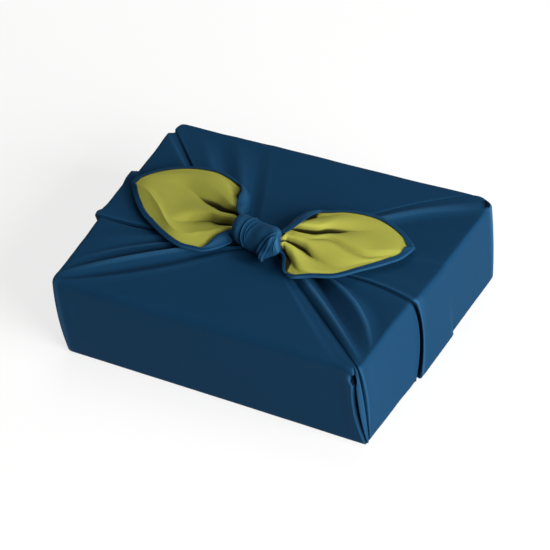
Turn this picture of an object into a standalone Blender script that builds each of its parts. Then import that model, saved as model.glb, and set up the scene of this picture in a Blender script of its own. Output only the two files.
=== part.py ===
"""Furoshiki wrap: a square of two-faced cloth tied round a flat gift box.

The navy face is one solid: the cloth drawn tight over the box, the square knot on top and
the navy side of both free ends, with their narrow hems.  The green lining shows only inside
the two free ends, where each piece of it is a solid of its own, seated inside the hem.

Frame: +X along the long side, +Y to the back, +Z up, the base on z = 0.
The tables and sizes below are in millimetres; meshes are made in metres.
"""

import math
from dataclasses import dataclass

import bmesh
import bpy
import numpy as np
from mathutils import Matrix

MM = 0.001

# Bundle ----------------------------------------------------------------------------------
LENGTH = 300.0
DEPTH = 220.0
HEIGHT = 86.0
PERIMETER = 2.0 * (LENGTH + DEPTH)
CORNER_RADIUS = 6.0
BASE_BEVEL = 2.5
CREASE_STEEPNESS = 1.5
SHARP_ANGLE = math.radians(50.0)

# The cloth's folds run from the rim to an oval round the knot, where they are drawn in.
GATHER_CENTRE = (5.0, -14.0)
GATHER_LENGTH = 58.0
GATHER_DEPTH = 19.0
GATHER_LIFT = 13.0
GATHER_FALL = 1.5

TOP_STATIONS = (0.0, 0.13, 0.28, 0.44, 0.6, 0.75, 0.89, 1.0)
CAP_STATIONS = (0.68, 0.34)
EDGE_TURNS = (0.36, 0.7)
SIDE_STATIONS = (0.82, 0.6, 0.38, 0.17)

# Knot ------------------------------------------------------------------------------------
KNOT_CENTRE = (3.0, -12.8)
KNOT_LIFT = 13.5
KNOT_TURN = math.radians(-7.0)
KNOT_HALF_LENGTH = 22.0
KNOT_CORE_RADIUS = 12.5
KNOT_CORE_REACH = 23.5
KNOT_END_LIFT = 4.5
KNOT_STATIONS = 29
KNOT_SIDES = 26
# The end of one band hangs down at this angle round the axis: 0 at the back, 90 on top.
KNOT_DROOP_ANGLE = math.radians(215.0)

# Free ends -------------------------------------------------------------------------------
NAVY_THICKNESS = 1.3
LINING_THICKNESS = 1.2
SEAT_GAP = 0.55
HEM_WIDTH = 3.8
HEM_SHARE = 0.25
HEM_PROUD = LINING_THICKNESS + SEAT_GAP + 0.2
HEM_STEP = 0.2
LINING_CLEAR = 0.45
LINING_TUCK = 6.0
TUCK_END = 0.6
TUCK_RUN = 0.1
TUCK_LIMIT = 0.1
CROWN_POWER = 3
LAPEL_THICKNESS = 2.0
LAPEL_BULGE = 1.2
LAPEL_STEPS = 2
LAPEL_NOSE = 8.0
# Each corner of a lapel's profile: its share of the way from foot to rim, and its side.
LAPEL_PROFILE = ((0.0, 1.0), (0.5, 1.0), (0.95, 0.85), (1.08, 0.0), (0.95, -0.85), (0.5, -1.0),
                 (0.0, -1.0), (-0.1, 0.0))
# A fold's height grows from the knot with one power and dies away to the tip with another;
# its width grows from the first share of its nominal width by the second.
FOLD_STEEPNESS = 1.25
FOLD_GROWTH = 0.5
FOLD_DECAY = 1.2
FOLD_WIDTHS = (0.8, 0.9)


@dataclass(frozen=True)
class Section:
    """One upright half-section of the bundle, from the knot over the rim and down the side.

    side, at      side of the box, and the place of the section along it at the rim
    shift         how far the section has moved along the side at mid height and at the base
    out           how far the cloth stands out from the box: at the rim, mid height and base
    gather        angle on the gathering oval, in degrees, where the section starts
    bow           sideways bow of the section on its way over the top
    rise          height of the cloth above the top: at the rim, half way and at the oval
    edge          radius of the rim
    steps         faces between this section and the next one
    crease        True for a sharp crease, False for a soft fold
    """

    side: str
    at: float
    gather: float
    rise: tuple = (0.0, 0.0, 0.0)
    out: tuple = (0.0, 0.0, 0.0)
    shift: tuple = (0.0, 0.0)
    bow: float = 0.0
    edge: float = 4.0
    steps: int = 3
    crease: bool = False


SECTIONS = (
    # right end: pleat of the near corner, fan of folds, open slit, proud back flap
    Section("right", -109.0, -54.5, (-0.5, -1.6, -1.0), (-1.0, -1.5, -2.6), (1.5, -0.5), steps=1),
    Section("right", -108.0, -54.0, (-1.0, -1.8, -1.0), (-2.0, -4.5, -3.6), (3.0, 0.0), steps=1),
    Section("right", -107.0, -52.0, (0.8, 1.2, 1.0), (2.0, 1.8, -2.6), (3.4, 0.0), steps=2),
    Section("right", -102.0, -44.0, (0.0, 4.2, 2.4), (2.0, 1.0, -3.2), (2.0, 0.0)),
    Section("right", -97.0, -33.0, (0.0, -1.8, -0.8), (1.6, 0.6, -3.0), bow=2.0),
    Section("right", -86.0, -20.0, (0.0, 3.6, 2.0), (1.4, 0.3, -2.6), bow=10.0, crease=True),
    Section("right", -60.0, -14.0, (0.0, -1.8, -0.6), (1.6, 0.2, -2.0), bow=7.0, steps=4),
    Section("right", -20.0, -7.0, (-0.6, -0.9, -0.5), (2.6, 1.0, -0.6), (1.0, -9.0), bow=1.0,
            steps=1, crease=True),
    Section("right", -18.0, -6.0, (-0.8, -1.1, -0.6), (1.0, -2.6, -1.8), (1.6, -8.4), bow=1.0,
            steps=1),
    Section("right", -16.8, -5.0, (1.8, 1.8, 1.0), (6.0, 3.6, 1.8), (2.2, -7.0), bow=1.0,
            steps=2, crease=True),
    Section("right", -9.0, -1.0, (1.4, 1.0, 0.6), (7.6, 4.4, 1.9), (0.5, -3.0), bow=2.0, steps=3),
    Section("right", 27.0, 8.0, (-0.5, 0.0, 0.2), (8.0, 5.2, 2.8), (2.0, 2.6), bow=8.0, steps=1),
    Section("right", 31.0, 10.0, (0.4, 0.2, 0.2), (8.2, 4.2, 0.0), (2.0, 2.6), bow=8.0, steps=3),
    Section("right", 62.0, 26.0, (0.0, 0.5, 0.2), (8.2, 4.6, 0.5), bow=8.0, steps=4),
    Section("right", 97.0, 48.0, (0.0, -2.2, -1.4), (7.4, 5.0, 0.8), bow=11.0),
    Section("right", 105.0, 60.0, (0.2, 2.3, 1.8), (7.0, 5.0, 0.8), bow=13.0, steps=3),
    # back: the far right pleat, then a smooth side with soft folds towards the far left
    Section("back", 148.0, 67.0, (0.0, 0.6, 0.6), (4.0, 3.0, 0.0), bow=11.0, steps=2),
    Section("back", 142.5, 69.0, (0.0, 0.0, 0.0), (3.2, 2.4, 0.4), (-2.0, 3.0), bow=9.0, steps=1),
    Section("back", 139.5, 70.4, (0.0, -0.4, 0.0), (2.6, -2.0, -1.0), (-2.4, 2.6), bow=8.6,
            steps=1),
    Section("back", 136.0, 72.0, (0.0, 0.4, 0.0), (3.2, 2.0, 0.0), (-3.0, 2.0), bow=8.0, steps=3),
    Section("back", 70.0, 80.0, (0.0, 0.3, 0.0), (2.6, 1.6, 0.0), bow=5.0, edge=5.0, steps=3),
    Section("back", 0.0, 92.0, (0.0, 0.2, 0.0), (1.0, 1.2, 0.0), edge=5.0, steps=3),
    Section("back", -52.0, 104.0, (0.0, 0.4, 0.4), (-0.4, 0.8, 0.0), edge=5.0),
    Section("back", -68.0, 111.0, (-0.2, -1.0, -0.6), (-1.4, 0.6, 0.0), edge=5.0),
    Section("back", -88.0, 118.0, (-0.4, 1.5, 1.2), (-2.0, 0.4, 0.0), edge=5.0),
    Section("back", -111.0, 126.0, (-0.8, -1.5, -1.0), (-3.0, 0.2, 0.0), edge=5.0),
    Section("back", -130.0, 133.0, (-1.0, 1.4, 1.0), (-3.6, 0.0, 0.0), edge=4.0, steps=2),
    Section("back", -147.0, 139.0, (-0.8, 0.8, 0.8), (-4.0, -0.5, 0.0), steps=2),
    # left end: far corner pleat, plain flap, proud overlap with two open folds, near corner fan
    Section("left", 98.0, 142.0, (-0.4, 0.4, 0.4), (0.0, 0.5, 0.0), (-2.0, 3.0), steps=1),
    Section("left", 94.0, 144.5, (-1.2, -1.6, -0.8), (-1.4, -3.5, -1.0), (-3.0, 3.4), steps=1),
    Section("left", 89.5, 147.5, (0.3, 1.4, 1.0), (3.0, 1.8, 0.0), (-4.0, 4.0), steps=3),
    Section("left", 60.0, 157.0, (0.0, -0.4, 0.0), (1.4, 1.2, 0.0), steps=3),
    Section("left", 36.5, 165.0, (-0.3, -0.2, 0.0), (1.2, 0.6, 0.0), steps=1, crease=True),
    Section("left", 33.0, 166.5, (2.2, 1.4, 0.2), (7.4, 4.0, 1.6), steps=2, crease=True),
    Section("left", 22.0, 170.0, (1.8, 1.0, 0.0), (6.6, 4.4, 1.8), steps=3),
    Section("left", -10.0, 182.0, (1.4, 1.0, 0.2), (4.6, 4.2, 1.8), steps=2),
    Section("left", -23.0, 188.0, (2.4, 2.6, 1.2), (6.2, 3.6, 1.8), (1.0, -5.0), bow=2.0,
            steps=1, crease=True),
    Section("left", -26.5, 189.0, (0.4, -1.6, -0.6), (2.6, -2.4, -1.6), (1.0, -5.0), bow=3.0,
            steps=1),
    Section("left", -29.0, 190.0, (-0.4, -1.4, -0.6), (1.2, 0.6, 0.0), (1.0, -4.0), bow=3.0),
    Section("left", -58.0, 197.0, (0.0, 1.4, 0.8), (-0.8, 0.4, 0.0), bow=-5.0, steps=4),
    Section("left", -97.0, 205.0, (0.0, -3.0, -1.6), (-2.6, 0.5, 0.0), bow=-11.0),
    Section("left", -104.0, 222.0, (0.0, 4.0, 2.2), (-2.0, 1.5, 0.0), bow=1.0, edge=6.0),
    # front: one smooth panel, then the first half of the near corner's pleat
    Section("front", -145.0, 238.0, (0.0, -0.9, -0.6), (0.0, 3.0, 0.0), bow=9.0, edge=7.0,
            crease=True),
    Section("front", -118.0, 246.0, (0.0, 0.7, 0.2), (0.0, 1.6, 0.0), bow=5.0, edge=9.0),
    Section("front", -55.0, 257.0, (0.0, 0.2, 0.0), (0.0, 0.8, 0.2), edge=9.0, steps=3),
    Section("front", 10.0, 270.0, (0.0, 0.3, 0.0), (0.0, 0.8, 0.4), edge=9.0, steps=3),
    Section("front", 75.0, 283.0, (0.0, 0.4, 0.0), (0.2, 1.0, 0.8), edge=8.0),
    Section("front", 128.0, 296.0, (0.0, 0.4, 0.2), (0.4, 1.0, 1.2), edge=6.0, steps=2),
    Section("front", 145.0, 303.0, (-0.2, -0.4, -0.2), (0.6, 1.6, 1.2), (-4.0, 0.0), steps=1),
    Section("front", 146.6, 304.0, (-0.8, -1.6, -1.0), (-1.6, -2.2, -0.6), (-4.0, -0.2), steps=1),
    Section("front", 148.0, 304.5, (-0.6, -1.7, -1.0), (-1.2, -0.4, -0.2), (-3.0, 0.0), steps=2),
)

@dataclass(frozen=True)
class Band:
    """A band of cloth that winds round the knot.

    centre, reach   its middle along the knot's axis, and half its width
    radius, body    its outer radius and its thickness
    lean            how far it is shifted along the axis at the back, and back again in front
    droop           how far it hangs down in front
    """

    centre: float
    reach: float
    radius: float
    body: float
    lean: float = 0.0
    droop: float = 0.0


KNOT_BANDS = (
    Band(-17.0, 5.4, 12.4, 4.5, lean=1.2),
    Band(-10.6, 2.3, 13.6, 2.4, lean=1.0),
    Band(-7.4, 2.2, 14.6, 2.4, lean=1.6),
    Band(-0.8, 8.0, 16.0, 5.0, lean=1.6),
    Band(7.4, 2.6, 15.4, 2.6, lean=2.4),
    Band(10.6, 2.2, 14.4, 2.4, lean=2.0),
    Band(12.6, 3.6, 13.6, 3.2, lean=0.6, droop=4.5),
    Band(17.4, 4.8, 12.0, 4.2, lean=-0.6),
)


@dataclass(frozen=True)
class Rib:
    """One cross-section of a free end, from its lower edge to its upper edge.

    Heights are above the bundle's top.  Near the knot the cloth doubles back over itself at
    both edges: a lapel is the rim of the cloth that is folded in, and is left out further on.
    """

    station: float
    lower: tuple
    upper: tuple
    crown: float = 0.0
    lower_lapel: tuple = ()
    upper_lapel: tuple = ()


LEFT_RIBS = (
    Rib(0.0, (-13.0, -20.5, 12.0), (-13.0, -4.0, 17.0), 0.0,
        (-14.5, -19.0, 14.5), (-15.0, -6.0, 19.5)),
    Rib(0.08, (-20.0, -17.0, 9.0), (-20.0, 5.0, 14.5), 1.5,
        (-22.5, -13.0, 15.0), (-23.0, 0.0, 20.5)),
    Rib(0.2, (-24.8, -20.0, 6.0), (-27.2, 21.1, 9.0), 4.0,
        (-32.0, -14.0, 13.5), (-34.6, 11.5, 18.0)),
    Rib(0.3, (-31.0, -28.8, 5.2), (-33.9, 34.3, 8.4), 5.5,
        (-38.3, -22.5, 12.0), (-40.7, 22.5, 17.0)),
    Rib(0.4, (-37.0, -35.6, 4.8), (-42.9, 41.5, 8.6), 6.5,
        (-41.5, -31.0, 8.5), (-46.4, 35.0, 14.2)),
    Rib(0.46, (-41.8, -38.4, 4.8), (-50.0, 44.6, 8.8), 6.5,
        (-43.5, -36.4, 7.0), (-52.0, 42.0, 12.2)),
    Rib(0.52, (-48.0, -39.6, 4.8), (-60.5, 49.0, 8.6), 6.5),
    Rib(0.6, (-60.2, -40.2, 4.6), (-76.3, 52.8, 8.0), 6.0),
    Rib(0.7, (-78.2, -35.2, 4.6), (-99.9, 50.4, 7.0), 5.0),
    Rib(0.8, (-96.7, -26.3, 4.8), (-119.3, 42.4, 6.4), 4.0),
    Rib(0.9, (-116.3, -14.2, 5.0), (-133.4, 32.0, 6.0), 2.5),
    Rib(0.965, (-131.6, 0.8, 5.2), (-140.3, 23.0, 5.6), 1.0),
    Rib(1.0, (-141.4, 11.5, 5.4), (-142.9, 19.6, 5.4)),
)

RIGHT_RIBS = (
    Rib(0.0, (18.0, -21.0, 11.0), (18.0, -6.0, 16.0), 0.0,
        (20.0, -19.5, 13.5), (20.0, -8.0, 18.5)),
    Rib(0.08, (26.0, -21.5, 8.5), (22.5, 3.0, 14.0), 1.5,
        (28.8, -17.5, 14.0), (26.0, -3.5, 20.0)),
    Rib(0.2, (31.0, -24.5, 5.6), (23.0, 19.6, 10.0), 4.0,
        (36.6, -19.8, 12.6), (31.5, 10.5, 18.6)),
    Rib(0.3, (34.6, -30.5, 5.0), (25.4, 29.3, 10.0), 5.5,
        (38.6, -26.8, 10.6), (33.2, 21.5, 16.8)),
    Rib(0.4, (39.3, -36.2, 4.8), (31.5, 36.3, 9.8), 6.5,
        (40.8, -34.4, 8.2), (36.5, 30.5, 14.5)),
    Rib(0.46, (44.0, -38.6, 4.8), (36.5, 40.0, 9.6), 7.0,
        (44.8, -37.4, 6.2), (38.6, 37.4, 12.6)),
    Rib(0.52, (50.3, -39.3, 5.8), (42.5, 42.0, 9.8), 7.0),
    Rib(0.6, (63.0, -33.4, 6.0), (52.1, 46.6, 9.6), 6.5),
    Rib(0.7, (82.6, -25.7, 6.0), (68.5, 50.4, 9.0), 6.0),
    Rib(0.8, (99.6, -10.5, 6.0), (85.9, 51.4, 7.4), 4.5),
    Rib(0.9, (115.2, 5.6, 5.0), (104.2, 46.0, 6.4), 2.5),
    Rib(0.965, (124.2, 17.6, 5.2), (116.4, 39.4, 5.6), 1.0),
    Rib(1.0, (127.6, 26.8, 5.4), (124.4, 34.4, 5.4)),
)


@dataclass(frozen=True)
class Fold:
    """A trough (height < 0) or ridge (height > 0) that runs out from the knot.

    Stations run 0 to 1 from knot to tip, and places run 0 to 1 from lower to upper edge.
    """

    start: float
    start_place: float
    end: float
    end_place: float
    width: float
    height: float


LEFT_FOLDS = (
    Fold(0.02, 0.62, 0.76, 0.74, 0.065, -7.0),
    Fold(0.02, 0.36, 0.78, 0.24, 0.060, -6.0),
    Fold(0.02, 0.49, 0.86, 0.47, 0.075, 3.6),
    Fold(0.34, 0.80, 0.74, 0.88, 0.045, 2.2),
    Fold(0.30, 0.20, 0.74, 0.12, 0.045, 2.2),
)

RIGHT_FOLDS = (
    Fold(0.02, 0.64, 0.84, 0.76, 0.065, -6.5),
    Fold(0.02, 0.38, 0.70, 0.22, 0.060, -6.5),
    Fold(0.02, 0.51, 0.80, 0.54, 0.075, 3.4),
    Fold(0.32, 0.20, 0.70, 0.12, 0.045, 2.2),
    Fold(0.38, 0.50, 0.90, 0.14, 0.050, -2.6),
    Fold(0.36, 0.82, 0.80, 0.90, 0.045, 2.0),
)

ROW_STATIONS = (0.0, 0.05, 0.1, 0.15, 0.2, 0.25, 0.3, 0.36, 0.42, 0.49, 0.56, 0.64, 0.72,
                0.8, 0.87, 0.93)
# The last rows: the lining's end, the foot and top of the hem's step, and the tip.
TIP_STATIONS = (0.971, 0.975, 0.9765, 1.0)
BODY_STEPS = 15
LINING_START = 1


# Shared helpers --------------------------------------------------------------------------
def make_material(name, colour, roughness):
    """Return a Principled material of one colour."""
    material = bpy.data.materials.new(name)
    material.use_nodes = True
    shader = material.node_tree.nodes["Principled BSDF"]
    shader.inputs["Base Color"].default_value = (*colour, 1.0)
    shader.inputs["Roughness"].default_value = roughness
    shader.inputs["Metallic"].default_value = 0.0
    material.diffuse_color = (*colour, 1.0)
    return material


def make_object(name, points, faces, material):
    """Return a smooth-shaded object whose points, given in millimetres, form a closed mesh."""
    mesh = bpy.data.meshes.new(name)
    mesh.from_pydata([tuple(point) for point in np.asarray(points) * MM], [], faces)
    shell = bmesh.new()
    shell.from_mesh(mesh)
    bmesh.ops.triangulate(shell, faces=shell.faces[:], quad_method="FIXED")
    bmesh.ops.recalc_face_normals(shell, faces=shell.faces[:])
    shell.to_mesh(mesh)
    shell.free()
    mesh.materials.append(material)
    mesh.shade_smooth()
    mesh.set_sharp_from_angle(angle=SHARP_ANGLE)
    thing = bpy.data.objects.new(name, mesh)
    bpy.context.scene.collection.objects.link(thing)
    return thing


def hide_as_cutter(thing):
    """Mark an object that only shapes another one."""
    thing.hide_render = True
    thing.display_type = "WIRE"


def add_boolean(target, operand, operation):
    """Join the operand to the target or cut it away."""
    modifier = target.modifiers.new(operand.name, "BOOLEAN")
    modifier.operation = operation
    modifier.object = operand
    modifier.solver = "EXACT"


def ring_faces(rings, count):
    """Return the quads between neighbouring closed rings of points, each with count points."""
    faces = []
    for ring in range(rings - 1):
        for index in range(count):
            after = (index + 1) % count
            faces.append((ring * count + index, ring * count + after,
                          (ring + 1) * count + after, (ring + 1) * count + index))
    return faces


def fan_faces(centre, ring_start, count):
    """Return the triangles from a centre point to a closed ring."""
    return [(centre, ring_start + index, ring_start + (index + 1) % count)
            for index in range(count)]


def blend_weight(share, crease_start, crease_end):
    """Return an ease from 0 to 1: level at a soft fold, steep at a crease."""
    start = CREASE_STEEPNESS if crease_start else 0.0
    end = CREASE_STEEPNESS if crease_end else 0.0
    return ((start + end - 2.0) * share**3 + (3.0 - 2.0 * start - end) * share**2
            + start * share)


def through_three(values, share):
    """Return the smooth curve through three values at shares 0, 0.5 and 1."""
    first, middle, last = values
    return (first * (1.0 - share) * (1.0 - 2.0 * share) + middle * 4.0 * share * (1.0 - share)
            + last * share * (2.0 * share - 1.0))


def smooth_rows(stations, values, wanted):
    """Return rows of values read at the wanted stations, on smooth curves through the rows."""
    stations = np.asarray(stations, float)
    values = np.asarray(values, float)
    slopes = np.gradient(values, stations, axis=0)
    slot = np.clip(np.searchsorted(stations, wanted, side="right") - 1, 0, len(stations) - 2)
    span = (stations[slot + 1] - stations[slot])[:, None]
    share = ((wanted - stations[slot]) / span[:, 0])[:, None]
    return ((2 * share**3 - 3 * share**2 + 1) * values[slot]
            + (share**3 - 2 * share**2 + share) * span * slopes[slot]
            + (3 * share**2 - 2 * share**3) * values[slot + 1]
            + (share**3 - share**2) * span * slopes[slot + 1])


# Bundle ----------------------------------------------------------------------------------
def perimeter_place(section):
    """Return how far round the box a section stands, counter-clockwise from the near corner."""
    return {
        "right": DEPTH / 2 + section.at,
        "back": DEPTH + LENGTH / 2 - section.at,
        "left": DEPTH + LENGTH + DEPTH / 2 - section.at,
        "front": 2 * DEPTH + LENGTH + LENGTH / 2 + section.at,
    }[section.side]


def plan_point(place):
    """Return the point of the box's rounded plan at a place round it, and its outward normal."""
    place = place % PERIMETER
    for corner_x, corner_y, angle, run in (
        (LENGTH / 2, -DEPTH / 2, 0.0, DEPTH),
        (LENGTH / 2, DEPTH / 2, 90.0, LENGTH),
        (-LENGTH / 2, DEPTH / 2, 180.0, DEPTH),
        (-LENGTH / 2, -DEPTH / 2, 270.0, LENGTH),
    ):
        if place <= run:
            break
        place -= run
    turn = 0.0
    along = place
    if place < CORNER_RADIUS:
        turn = -45.0 * (1.0 - place / CORNER_RADIUS)
        along = CORNER_RADIUS
    if place > run - CORNER_RADIUS:
        turn = 45.0 * (1.0 - (run - place) / CORNER_RADIUS)
        along = run - CORNER_RADIUS
    outward = math.radians(angle)
    turned = math.radians(angle + turn)
    normal = np.array((math.cos(turned), math.sin(turned)))
    side_normal = np.array((math.cos(outward), math.sin(outward)))
    side_along = np.array((-math.sin(outward), math.cos(outward)))
    inner = np.array((corner_x, corner_y)) + side_along * along - side_normal * CORNER_RADIUS
    return inner + normal * CORNER_RADIUS, normal


def read_sections():
    """Return the sections' values, spread over the steps between neighbouring sections."""
    rows = []
    for index, section in enumerate(SECTIONS):
        after = SECTIONS[(index + 1) % len(SECTIONS)]
        wraps = index == len(SECTIONS) - 1
        start = np.array((perimeter_place(section), *section.shift, section.gather, section.bow,
                          section.edge))
        end = np.array((perimeter_place(after) + (PERIMETER if wraps else 0.0), *after.shift,
                        after.gather + (360.0 if wraps else 0.0), after.bow, after.edge))
        height_start = np.array((*section.rise, *section.out))
        height_end = np.array((*after.rise, *after.out))
        for step in range(section.steps):
            share = step / section.steps
            ease = blend_weight(share, section.crease, after.crease)
            rows.append(np.concatenate((start + (end - start) * share,
                                        height_start + (height_end - height_start) * ease)))
    return rows


def section_points(row):
    """Return the points of one half-section, from the innermost one over the rim to the base."""
    place, shift_mid, shift_low, gather, bow, edge = row[:6]
    rise_rim, rise_half, rise_oval = row[6:9]
    out = row[9:12]
    # Counter-clockwise is towards a falling "at" on the back and left sides.
    on_back_or_left = DEPTH < place % PERIMETER <= 2 * DEPTH + LENGTH
    sense = -1.0 if on_back_or_left else 1.0

    def wall(height):
        """Return the side's point and normal at a height above the base."""
        share = height / HEIGHT
        moved = sense * through_three((shift_low, shift_mid, 0.0), share)
        point, normal = plan_point(place + moved)
        return point + normal * through_three((out[2], out[1], out[0]), share), normal

    angle = math.radians(gather)
    oval = np.array((GATHER_LENGTH * math.cos(angle), GATHER_DEPTH * math.sin(angle)))
    start = np.array(GATHER_CENTRE) + oval
    rim_wall = wall(HEIGHT)[0]
    inward = (start - rim_wall) / np.linalg.norm(start - rim_wall)
    rim = rim_wall + inward * edge
    chord = rim - start
    across = np.array((-chord[1], chord[0])) / np.linalg.norm(chord)
    points = []
    for share in reversed(CAP_STATIONS):
        height = HEIGHT + rise_oval * share + GATHER_LIFT * (1.0 - share) ** GATHER_FALL
        points.append((*(np.array(GATHER_CENTRE) + oval * share), height))
    for share in TOP_STATIONS:
        spot = start + chord * share + across * bow * 4.0 * share * (1.0 - share)
        points.append((*spot, HEIGHT + through_three((rise_oval, rise_half, rise_rim), share)))
    for turn in EDGE_TURNS:
        angle = turn * math.pi / 2
        height = HEIGHT - edge + (edge + rise_rim) * math.cos(angle)
        side = wall(min(height, HEIGHT))[0]
        points.append((*(side + inward * edge * (1.0 - math.sin(angle))), height))
    for share in SIDE_STATIONS:
        points.append((*wall(HEIGHT * share)[0], HEIGHT * share))
    points.append((*wall(BASE_BEVEL)[0], BASE_BEVEL))
    side, normal = wall(0.0)
    points.append((*(side - normal * BASE_BEVEL), 0.0))
    return points


def make_bundle(material):
    """Return the cloth drawn over the box: top with its folds, sides with pleats, flat base."""
    rows = [section_points(row) for row in read_sections()]
    count = len(rows)
    rings = len(rows[0])
    points = [rows[index][ring] for ring in range(rings) for index in range(count)]
    faces = ring_faces(rings, count)
    points.append((*GATHER_CENTRE, HEIGHT + GATHER_LIFT))
    faces += fan_faces(len(points) - 1, 0, count)
    faces.append(tuple((rings - 1) * count + index for index in range(count)))
    return make_object("wrap", points, faces, material)


# Knot ------------------------------------------------------------------------------------
def knot_radius(along, angle):
    """Return the knot's outer radius: the proudest band, or the core between the bands."""
    radius = KNOT_CORE_RADIUS * np.sqrt(np.clip(1.0 - (along / KNOT_CORE_REACH) ** 2, 0.0, 1.0))
    for band in KNOT_BANDS:
        centre = band.centre + band.lean * np.cos(angle)
        offset = (along - centre) / band.reach
        lower_front = np.clip(np.cos(angle - KNOT_DROOP_ANGLE), 0.0, 1.0) ** 2
        outer = band.radius + band.droop * lower_front
        profile = outer - band.body + band.body * np.sqrt(np.clip(1.0 - offset**2, 0.0, 1.0))
        radius = np.where(np.abs(offset) < 1.0, np.maximum(radius, profile), radius)
    return radius


def make_knot(name, growth, material):
    """Return the knot as a barrel of bands on an axis that lifts towards both free ends."""
    along = np.linspace(-KNOT_HALF_LENGTH, KNOT_HALF_LENGTH, KNOT_STATIONS)[:, None]
    angle = (np.arange(KNOT_SIDES) * 2 * math.pi / KNOT_SIDES)[None, :]
    radius = knot_radius(along, angle) + growth
    lift = KNOT_END_LIFT * (along / KNOT_HALF_LENGTH) ** 2
    back = radius * np.cos(angle)
    up = radius * np.sin(angle) + lift
    axis = np.broadcast_to(along * (1.0 + growth / KNOT_HALF_LENGTH), back.shape)
    cos_turn = math.cos(KNOT_TURN)
    sin_turn = math.sin(KNOT_TURN)
    points = np.stack((KNOT_CENTRE[0] + axis * cos_turn - back * sin_turn,
                       KNOT_CENTRE[1] + axis * sin_turn + back * cos_turn,
                       HEIGHT + KNOT_LIFT + up), axis=-1).reshape(-1, 3)
    faces = ring_faces(KNOT_STATIONS, KNOT_SIDES)
    reach = KNOT_HALF_LENGTH + growth
    ends = [(KNOT_CENTRE[0] + sign * reach * cos_turn, KNOT_CENTRE[1] + sign * reach * sin_turn,
             HEIGHT + KNOT_LIFT + KNOT_END_LIFT) for sign in (-1, 1)]
    points = np.vstack((points, ends))
    faces += fan_faces(len(points) - 2, 0, KNOT_SIDES)
    faces += fan_faces(len(points) - 1, (KNOT_STATIONS - 1) * KNOT_SIDES, KNOT_SIDES)
    return make_object(name, points, faces, material)


# Free ends -------------------------------------------------------------------------------
def fold_height(folds, station, places, width):
    """Return the height of all folds at a station, for an array of places across it."""
    height = np.zeros_like(places)
    peak = FOLD_GROWTH / (FOLD_GROWTH + FOLD_DECAY)
    full = peak**FOLD_GROWTH * (1.0 - peak) ** FOLD_DECAY
    for fold in folds:
        share = (station - fold.start) / (fold.end - fold.start)
        if 0.0 < share < 1.0:
            strength = share**FOLD_GROWTH * (1.0 - share) ** FOLD_DECAY / full
            centre = fold.start_place + (fold.end_place - fold.start_place) * share
            reach = fold.width * (FOLD_WIDTHS[0] + FOLD_WIDTHS[1] * share)
            limit = min(abs(fold.height) * strength, FOLD_STEEPNESS * reach * width)
            height += math.copysign(limit, fold.height) * np.exp(-(((places - centre) / reach) ** 2))
    return height


def end_grid(ribs, folds):
    """Return the middle surface of a free end, rows from the knot to the tip."""
    stations = np.array([*ROW_STATIONS, *TIP_STATIONS])
    table = smooth_rows([rib.station for rib in ribs],
                        [(*rib.lower, *rib.upper, rib.crown) for rib in ribs], stations)
    rows = []
    for station, row in zip(stations, table):
        lower, upper = row[:3], row[3:6]
        width = np.linalg.norm(upper - lower)
        tuck = LINING_TUCK * np.clip((TUCK_END - station) / TUCK_RUN, 0.0, 1.0)
        hem = min(HEM_WIDTH, HEM_SHARE * width)
        seat = hem + HEM_STEP + LINING_CLEAR + min(tuck, TUCK_LIMIT * width)
        rim = np.array((0.0, hem, hem + HEM_STEP)) / width
        inside = np.linspace(seat / width, 1.0 - seat / width, BODY_STEPS)
        places = np.concatenate((rim, inside, 1.0 - rim[::-1]))
        points = lower + (upper - lower) * places[:, None]
        points[:, 2] += row[6] * np.sin(math.pi * places) ** CROWN_POWER
        points[:, 2] += fold_height(folds, station, places, width)
        rows.append(points)
    grid = np.array(rows)
    grid[:, :, 2] += HEIGHT
    return grid


def closed_sheet(lower, upper):
    """Return the points and faces of a closed sheet between two grids of the same shape."""
    rows, columns = lower.shape[:2]
    points = np.concatenate((lower.reshape(-1, 3), upper.reshape(-1, 3)))
    count = rows * columns
    faces = []
    for row in range(rows - 1):
        for column in range(columns - 1):
            a = row * columns + column
            b = a + columns
            faces.append((a, b, b + 1, a + 1))
            faces.append((count + a, count + a + 1, count + b + 1, count + b))
    edge = [*range(columns), *((row + 1) * columns - 1 for row in range(1, rows)),
            *range(count - 2, count - columns - 1, -1),
            *(row * columns for row in range(rows - 2, 0, -1))]
    for start, end in zip(edge, edge[1:] + edge[:1]):
        faces.append((start, end, count + end, count + start))
    return points, faces


def make_navy_ply(name, grid, material):
    """Return the navy side of a free end, with a hem that stands up round the lining."""
    top = np.full(grid.shape, (0.0, 0.0, NAVY_THICKNESS / 2))
    top[:, :2, 2] += HEM_PROUD
    top[:, -2:, 2] += HEM_PROUD
    top[-2:, 2:-2, 2] += HEM_PROUD
    return make_object(name, *closed_sheet(grid - (0.0, 0.0, NAVY_THICKNESS / 2), grid + top),
                       material)


def make_lining(name, grid, material):
    """Return the green lining of a free end, seated on the navy side inside the hem."""
    seat = NAVY_THICKNESS / 2 + SEAT_GAP
    shown = grid[LINING_START:-3, 3:-3]
    return make_object(name, *closed_sheet(shown + (0.0, 0.0, seat),
                                           shown + (0.0, 0.0, seat + LINING_THICKNESS)), material)


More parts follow.
